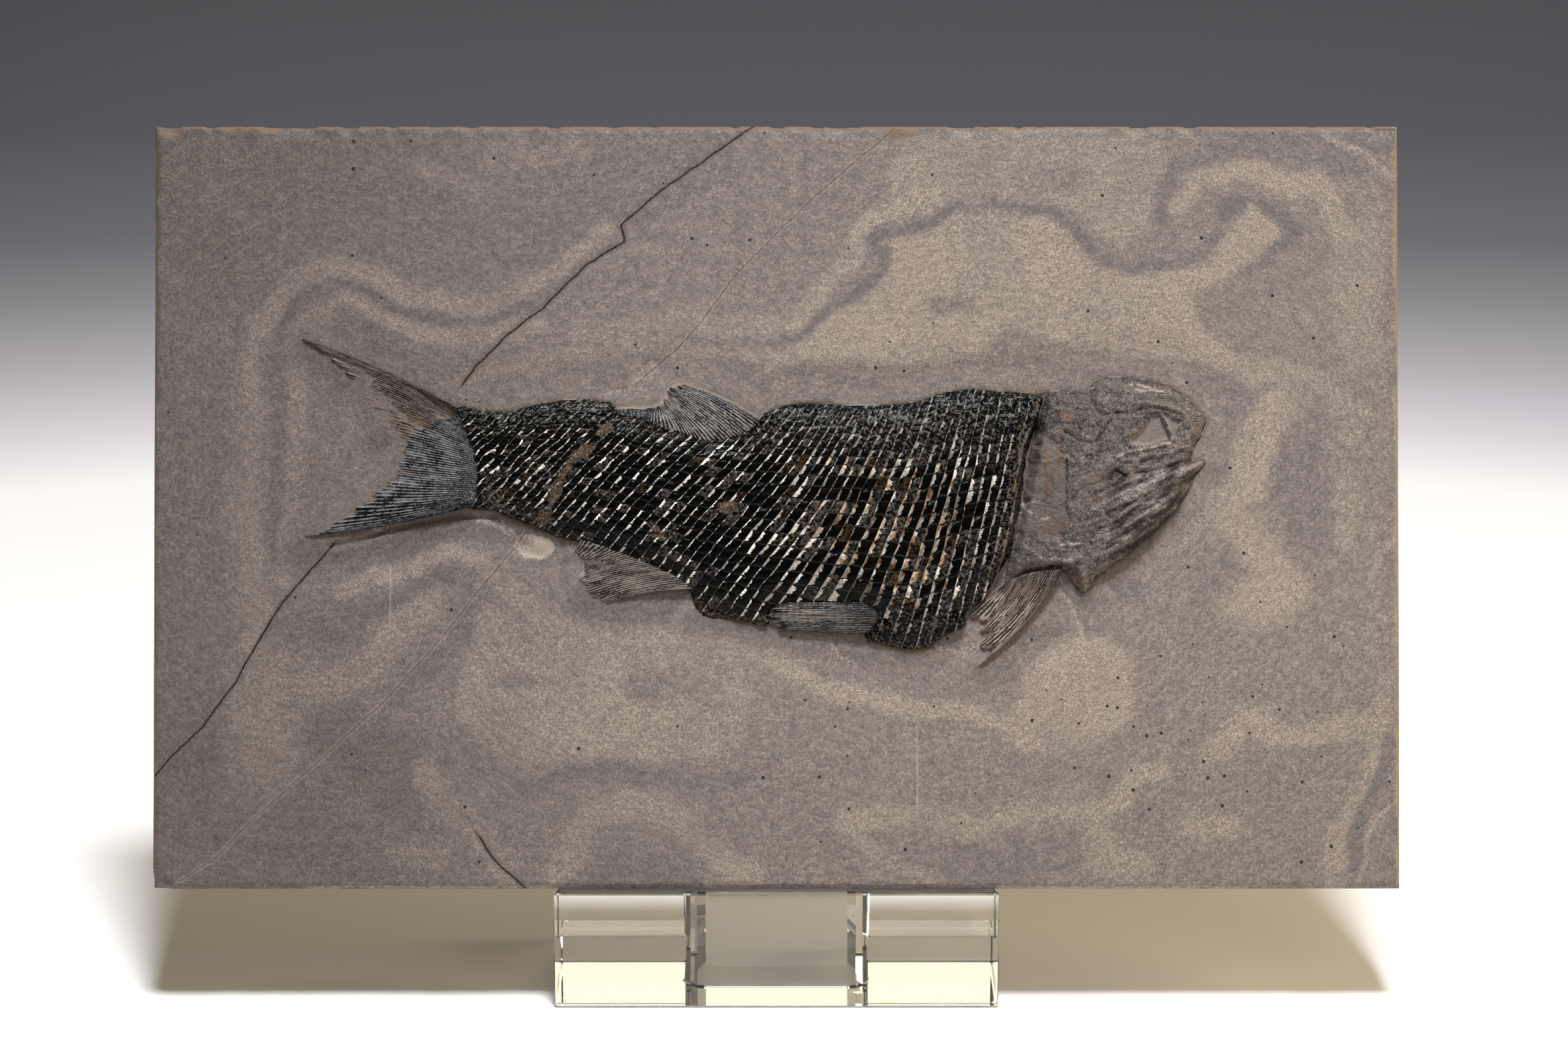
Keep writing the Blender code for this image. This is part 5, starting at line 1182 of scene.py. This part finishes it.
class FOSSIL_OT_skull(bpy.types.Operator):
    """Models the flattened skull from its bones"""

    bl_idname = "fossil.skull"
    bl_label = "Skull"

    def execute(self, context):
        a, b = np.meshgrid(*(np.arange(low, high, SKULL_STEP) for low, high in zip(SKULL_LOW, SKULL_HIGH)))
        middle_a, middle_b = SKULL_MIDDLE
        wide, tall = SKULL_REACH
        reach = ((a - middle_a) / wide) ** 2 + ((b - middle_b) / tall) ** 2
        n = SKULL_FOOT + SKULL_RISE * np.clip(1 - reach, 0, None) ** 0.6
        shake_a = a + 0.16 * rough(a, b, 1.1, 3, 2)
        shake_b = b + 0.16 * rough(a, b, 1.1, 7, 2)
        ridges = np.zeros(a.shape)
        for width, height, line in BONES:
            away, _ = nearest(curve(line, False, 3), shake_a, shake_b)
            ridges += 0.6 * height * np.exp(-(away / (0.6 * width)) ** 2)
        plates = np.zeros(a.shape)
        for outline in CHEEK_PLATES:
            beyond = outside(curve(outline, True, 3), shake_a, shake_b)
            plates = np.maximum(plates, smooth(0.3, -0.4, beyond))
        orbit = outside(curve(ORBIT, True, 3), a, b) + 0.15 * rough(a, b, 0.8, 9, 2)
        socket = smooth(0.25, -0.35, orbit)
        n += ridges
        coarse = rough(a, b, 0.62, 11, 3)
        streaks = rough(a * 0.83 + b * 0.56, (b * 0.83 - a * 0.56) * 5.0, 2.6, 13, 2)
        streaks *= smooth(40, 45, a) * smooth(57, 53, b)
        n += (0.13 * coarse + 0.15 * streaks) * (1 - 0.7 * plates) * (1 - socket)
        n -= 0.55 * socket * np.clip(1 - ridges, 0, 1)
        n += 0.12 * rough(a, b, 3.0, 17, 2)
        edge = outside(curve(SKULL_OUTLINE, True, 3), a, b) + 0.2 * rough(a, b, 0.8, 19, 2)
        side = smooth(0.0, -1.3, edge)
        shoulder = smooth(1.5, 0.2, nearest(SHOULDER, a, b)[0])
        side = np.maximum(side, shoulder * (edge < 0))
        n = (n - FISH_RIM) * side + FISH_RIM
        n = np.where(edge > 0, np.maximum(FISH_RIM - SIDE_DROP * edge, FISH_SUNK), n)

        veins = np.zeros(a.shape)
        for line in VEINS:
            veins = np.maximum(veins, 0.7 * smooth(0.5, 0.05, nearest(line, shake_a, shake_b)[0]))
        chalk = np.zeros(a.shape)
        for line, width in CHALK:
            spread = nearest(curve(line, False, 3), shake_a, shake_b)[0] / width
            chalk = np.maximum(chalk, smooth(1.5, 0.6, spread) * smooth(-0.5, 0.1, rough(a, b, 0.7, 23, 2)))
        nape = (smooth(7.5, 0.5, nearest(SHOULDER[6:], a, b)[0] + rough(a, b, 2.0, 29, 2))
                * smooth(56.0, 59.5, b))
        skull = Sheet(a, b, n, [(FISH_FLOOR, None)])
        bare = socket * (ridges < 0.35)
        skull.finish("skull_bones", "skull", fossil_bone(context.scene.fossil_colours), {
            "ridge": np.clip(ridges + 0.5 * streaks, -1, 1), "matrix": bare, "plate": plates * 0.6,
            "vein": veins, "chalk": chalk * 0.55, "nape": nape})
        return {"FINISHED"}


class Fin:
    """A fin of rays between its root and its tips, the rays in step along both lines."""

    def __init__(self, node, root, tips, rays, joints, level, bow):
        self.node = node
        self.root = np.array(curve(root, False, 6))
        self.tips = np.array(curve(tips, False, 6))
        self.rays = rays
        self.joints = joints
        self.level = level
        self.bow = bow

    def place(self, across, out):
        """The places a part of the way across the rays and a part of the way out along them."""
        ends = []
        for line in (self.root, self.tips):
            t = np.linspace(0, 1, len(line))
            ends.append((np.interp(across, t, line[:, 0]), np.interp(across, t, line[:, 1])))
        (root_a, root_b), (tip_a, tip_b) = ends
        length = np.hypot(tip_a - root_a, tip_b - root_b)
        swing = (self.bow[0] + (self.bow[1] - self.bow[0]) * across) * 4 * out * (1 - out) / length
        a = root_a + (tip_a - root_a) * out + (root_b - tip_b) * swing
        b = root_b + (tip_b - root_b) * out + (tip_a - root_a) * swing
        return a, b

    def outline(self):
        """The fin's outline on the face."""
        t = np.linspace(0, 1, 16)
        sides = [self.place(t, 0 * t), self.place(0 * t + 1, t),
                 self.place(1 - t, 0 * t + 1), self.place(0 * t, 1 - t)]
        return [(float(x), float(y)) for xs, ys in sides for x, y in zip(xs[:-1], ys[:-1])]

    def lay(self):
        """The fin's grid: its places, and how far across (in rays) and out each one is."""
        columns = 4 * self.rays + 1
        across, out = np.meshgrid(np.linspace(-FIN_PAST, 1 + FIN_PAST, columns),
                                  np.linspace(FIN_START, FIN_END, FIN_ROWS))
        a, b = self.place(np.clip(across, 0, 1), out)
        first = self.place(np.zeros(1), np.array([0.5]))
        last = self.place(np.ones(1), np.array([0.5]))
        span = np.array([last[0][0] - first[0][0], last[1][0] - first[1][0]])
        span /= np.hypot(*span)
        past = np.where(across < 0, across, 0) + np.where(across > 1, across - 1, 0)
        a = a + past / FIN_PAST * FIN_SIDE * span[0]
        b = b + past / FIN_PAST * FIN_SIDE * span[1]
        return a, b, across, out


FINS = [
    Fin("tail_fin", [(a - 0.1, b) for a, b in TAIL_ROOT],
        [(-60.8, 70.6), (-57.8, 68.6), (-54.6, 65.4), (-52.8, 62.7), (-50.9, 59.3), (-48.5, 56.5),
         (-48.6, 54.2), (-49.8, 52.3), (-53.5, 49.5), (-58.4, 45.9), (-60.8, 45.2)],
        62, 16, (-0.3, 0.4), (-0.6, 0.5)),
    Fin("dorsal_fin", DORSAL_BASE,
        [(-12.0, 64.7), (-13.6, 64.3), (-14.3, 63.1), (-14.8, 62.2), (-16.6, 61.7), (-20.4, 61.6)],
        40, 10, (-0.2, 0.4), (-0.5, 0.2)),
    Fin("anal_fin", ANAL_BASE,
        [(-25.9, 43.5), (-24.8, 42.1), (-24.6, 40.8), (-25.3, 39.8), (-24.5, 38.5), (-22.9, 37.2),
         (-21.2, 36.7)],
        34, 10, (-0.3, 0.3), (0.1, -0.5)),
    Fin("pelvic_fin", [(11.5, 36.8), (12.8, 35.6), (12.9, 34.2), (11.4, 32.7)],
        [(-0.4, 36.75), (-1.1, 35.3), (-0.9, 34.3), (0.4, 33.2)],
        18, 8, (0.1, 0.3), (0.0, 0.0)),
    Fin("pectoral_fin", [(36.5, 40.7), (34.3, 40.6), (32.1, 40.2), (29.8, 39.4)],
        [(26.1, 28.7), (27.4, 30.2), (26.2, 31.4), (27.3, 32.3), (26.2, 33.1), (26.9, 34.0),
         (24.8, 35.1)],
        27, 11, (-0.1, 0.6), (0.9, 0.0)),
]


class FOSSIL_OT_fins(bpy.types.Operator):
    """Models the five fins from their rays"""

    bl_idname = "fossil.fins"
    bl_label = "Fins"

    def execute(self, context):
        colours = context.scene.fossil_colours
        stone = tuple(0.5 * (x + y) for x, y in zip(colours.stone_dark, colours.stone_light))
        finishes = {
            "tail_fin": ("glossy blue-black fin rays", linear("#0e0e0e"), linear("#807e80"), 0.22),
            "dorsal_fin": ("silver-grey fin rays", linear("#0d0c0b"), linear("#908883"), 0.32),
            "anal_fin": ("tan-streaked fin rays", linear("#1d1815"), linear("#968a7f"), 0.34),
            "pelvic_fin": ("brown-grey fin rays", linear("#120f0d"), linear("#988c82"), 0.3),
            "pectoral_fin": ("dark streaked fin rays", linear("#332c27"), linear("#b3a496"), 0.3),
        }
        for fin in FINS:
            a, b, across, out = fin.lay()
            low, high = fin.level
            rise = low + (high - low) * smooth(1.0, 0.0, out)
            ray = across * fin.rays
            bead = 0.5 - 0.5 * np.cos(2 * math.pi * ray)
            knuckle = out * fin.joints + 0.5 * (np.floor(ray) % 2)
            gap = smooth(0.14, 0.02, np.abs(knuckle - np.round(knuckle)))
            body = 0.12 * bead * (1 - 0.45 * out) - 0.06 * gap * bead + 0.05 * rough(a, b, 0.8, 43, 2)
            film = np.ones(a.shape)
            warm = np.zeros(a.shape)
            near_root = np.zeros(a.shape)
            glint = np.full(a.shape, 0.26 if fin.node == "dorsal_fin" else 0.16)
            leading = np.zeros(a.shape)
            if fin.node in ("pelvic_fin", "pectoral_fin"):
                warm = 0.6 * smooth(0.9, 0.0, out)
                near_root = 0.5 * smooth(0.4, 0.0, out)
            if fin.node == "dorsal_fin":
                near_root = 2.2 * smooth(0.6, 0.85, across)
            if fin.node == "pelvic_fin":
                # Its upper rays shine, and its lower edge and both ends sink in among the scales
                glint += 0.22 * smooth(0.3, 0.1, across) - 0.1 * smooth(0.3, 0.6, across)
                near_root = np.maximum(2.2 * smooth(0.45, 0.0, out), 1.6 * smooth(0.5, 0.85, across))
                near_root = np.maximum(near_root, smooth(0.75, 1.0, out)) + 0.3 * rough(a, b, 1.3, 49, 2)
            if fin.node == "tail_fin":
                glint += 0.12 * smooth(0.35, 0.0, out)
                near_root = np.maximum(1.2 * smooth(0.5, 0.0, out), 0.7 * smooth(0.72, 0.88, across))
                edge = outside(TORN_LOBE, a, b) + 0.3 * rough(a, b, 1.2, 47, 2)
                warm = smooth(0.3, -0.3, edge)
                first = nearest(list(zip(*fin.place(np.zeros(12), np.linspace(0, 1, 12)))), a, b)[0]
                leading = smooth(1.3, 0.8, first / (0.3 + 0.5 * smooth(0.2, 0.7, out)))
                second = smooth(1.3, 0.7, nearest(SECOND_STRAND, a, b)[0] / 0.4)
                hole = smooth(1.3, 0.7, nearest(LOBE_HOLE, a, b)[0] / 0.7)
                torn = 0.6 - 0.25 * smooth(0.6, 1.0, out) - 0.15 * smooth(0.3, 0.1, out)
                torn += 0.26 * smooth(4.6, 1.6, first) * smooth(0.22, 0.36, out) * smooth(0.88, 0.62, out)
                torn = np.maximum(np.maximum(leading, second), torn * (1 - hole))
                film = film * (1 - warm) + torn * warm
                hatch = smooth(-0.2, 0.3, outside(LOWER_LOBE, a, b)) * smooth(0.6, 0.66, across)
                film = np.minimum(film, 1 - 0.25 * hatch)
                warm = np.maximum(warm, 0.7 * hatch)
                glint *= 1 - warm
            ends = smooth(1.0, 0.93, out + 0.05 * rough(ray, 0 * ray, 1.1, 57, 2))
            film *= np.maximum(leading, ends)
            stone_level = ground(a, b)
            n = np.maximum(rise, stone_level + 0.1) + body
            bare = stone_level - 0.06
            n = bare + (n - bare) * np.clip(film, 0, 1)
            past = (across < -0.001) | (across > 1.001) | (out > 1.02)
            n = np.where(past, -1.3, n)
            n = np.where(out < -0.04, n - 0.6, n)
            name, dark, light, gloss = finishes[fin.node]
            # The bare stone under the tail is darkened: painted shade, like that on the slab's left side
            under = tuple(0.76 * x for x in stone) if fin.node == "tail_fin" else stone
            sheet = Sheet(a, b, n, [(FISH_FLOOR, None)])
            look = ray_bone(name, dark, light, under, gloss)
            sheet.finish(fin.node + "_rays", fin.node, look, {
                "ray_across": ray, "ray_out": knuckle, "film": film, "warm": warm, "glint": glint,
                "near_root": near_root})
        return {"FINISHED"}


class FOSSIL_OT_easel(bpy.types.Operator):
    """Gives the easel its clear acrylic"""

    bl_idname = "fossil.easel"
    bl_label = "Easel"

    def execute(self, context):
        easel = bpy.data.objects["acrylic_easel"]
        for slot in easel.material_slots:
            slot.material = clear_acrylic()
        return {"FINISHED"}


def aim(thing, place, target):
    """Puts a light or the camera at a place, turned to the target."""
    thing.location = place
    thing.rotation_mode = "QUATERNION"
    thing.rotation_quaternion = (Vector(target) - Vector(place)).to_track_quat("-Z", "Y")


class FOSSIL_OT_stage(bpy.types.Operator):
    """Sets the floor, the lights and the camera"""

    bl_idname = "fossil.stage"
    bl_label = "Stage"

    def execute(self, context):
        scene = context.scene
        scene.view_settings.view_transform = "Standard"
        ground_shape = bmesh.new()
        bmesh.ops.create_grid(ground_shape, x_segments=8, y_segments=8, size=FLOOR_HALF_WIDTH)
        bmesh.ops.translate(ground_shape, verts=ground_shape.verts, vec=(0.0, 0.0, -FLOOR_DROP))
        mesh = bpy.data.meshes.new("floor")
        ground_shape.to_mesh(mesh)
        ground_shape.free()
        floor = bpy.data.objects.new("floor", mesh)
        scene.collection.objects.link(floor)
        material, tree, shader = new_material("matt paper sweep")
        shader.inputs["Roughness"].default_value = 0.7
        shader.inputs["Specular IOR Level"].default_value = 0.1
        spot = add(tree, "TexCoord")
        away = add(tree, "Mapping", {"Vector": spot.outputs["Object"], "Location": (0.0, -0.1, 0.0),
                                     "Scale": (0.7, 1.0, 1.0)})
        away = add(tree, "VectorMath", [away], operation="LENGTH")
        away = add(tree, "MapRange", [away, 0.0, 1.2])
        white = tuple(scene.fossil_colours.floor)
        # Painted shade: the floor darkens from white near the slab to grey farther off, all round
        painted_falloff = add(tree, "ValToRGB", {"Fac": away}, stops=[
            (0.165, white), (0.205, linear("#d6d1da")), (0.26, linear("#b0adb5")),
            (0.33, linear("#87888f")), (0.41, linear("#656975")), (0.583, linear("#4c5062")),
            (0.875, linear("#43495c"))])
        tree.links.new(painted_falloff.outputs[0], shader.inputs["Base Color"])
        mesh.materials.append(material)

        world = bpy.data.worlds.new("soft room")
        world.use_nodes = True
        world.node_tree.nodes["Background"].inputs["Color"].default_value = (*linear("#eddfbe"), 1)
        world.node_tree.nodes["Background"].inputs["Strength"].default_value = 0.1
        scene.world = world

        target = FACE @ Vector(CAMERA_TARGET)
        lights = [("key", "DISK", 0.24, 20.4, "#f8fbff", 180, (0.075, -0.35, 1.26), (0.0, 0.0, 0.06)),
                  ("fill", "SQUARE", 0.9, 3.2, "#ffefd6", 180, (0.45, -1.2, 1.05), (0.0, 0.0, 0.05)),
                  ("side card", "SQUARE", 0.25, 0.42, "#ffe8bc", 80, (0.46, -0.02, 0.13), (0.05, 0.0, 0.0)),
                  ("rear card", "SQUARE", 1.1, 4.5, "#fff0d2", 180, (0.05, 1.4, 0.62), (0.0, 0.0, 0.05))]
        for name, shape, size, power, tint, spread, place, at in lights:
            lamp = bpy.data.lights.new(name, "AREA")
            lamp.shape = shape
            lamp.size = size
            lamp.energy = power
            lamp.color = linear(tint)
            lamp.spread = math.radians(spread)
            lit = bpy.data.objects.new(name, lamp)
            scene.collection.objects.link(lit)
            lit.visible_camera = False
            aim(lit, place, at)

        camera = bpy.data.objects.new("camera", bpy.data.cameras.new("camera"))
        scene.collection.objects.link(camera)
        camera.data.lens = LENS
        camera.data.sensor_width = SENSOR_WIDTH
        camera.data.clip_start = 0.01
        camera.data.clip_end = 20.0
        back = Vector((0.0, -math.cos(CAMERA_ELEVATION), math.sin(CAMERA_ELEVATION)))
        aim(camera, target + back * CAMERA_DISTANCE, target)
        scene.camera = camera
        return {"FINISHED"}


OPERATORS = [FOSSIL_OT_stage, FOSSIL_OT_limestone_slab, FOSSIL_OT_scale_coat, FOSSIL_OT_skull,
             FOSSIL_OT_fins, FOSSIL_OT_easel]


class FOSSIL_PT_panel(bpy.types.Panel):
    """Lists the pieces of the fossil"""

    bl_idname = "FOSSIL_PT_panel"
    bl_label = "Fossil fish"
    bl_space_type = "VIEW_3D"
    bl_region_type = "UI"
    bl_category = "Fossil"

    def draw(self, context):
        for group in (context.scene.fossil_sizes, context.scene.fossil_colours):
            for name in group.bl_rna.properties.keys():
                if name not in ("rna_type", "name"):
                    self.layout.prop(group, name)
        for operator in OPERATORS:
            self.layout.operator(operator.bl_idname)


CLASSES = [FossilSizes, FossilColours, *OPERATORS, FOSSIL_PT_panel]


def register():
    """Makes the panel, the operators and their settings known."""
    for item in CLASSES:
        bpy.utils.register_class(item)
    bpy.types.Scene.fossil_sizes = bpy.props.PointerProperty(type=FossilSizes)
    bpy.types.Scene.fossil_colours = bpy.props.PointerProperty(type=FossilColours)


def unregister():
    """Takes everything back that register set up."""
    del bpy.types.Scene.fossil_sizes
    del bpy.types.Scene.fossil_colours
    for item in reversed(CLASSES):
        bpy.utils.unregister_class(item)


def main():
    """Builds the whole scene."""
    register()
    for operator in OPERATORS:
        group, name = operator.bl_idname.split(".")
        getattr(getattr(bpy.ops, group), name)()


if __name__ == "__main__":
    main()
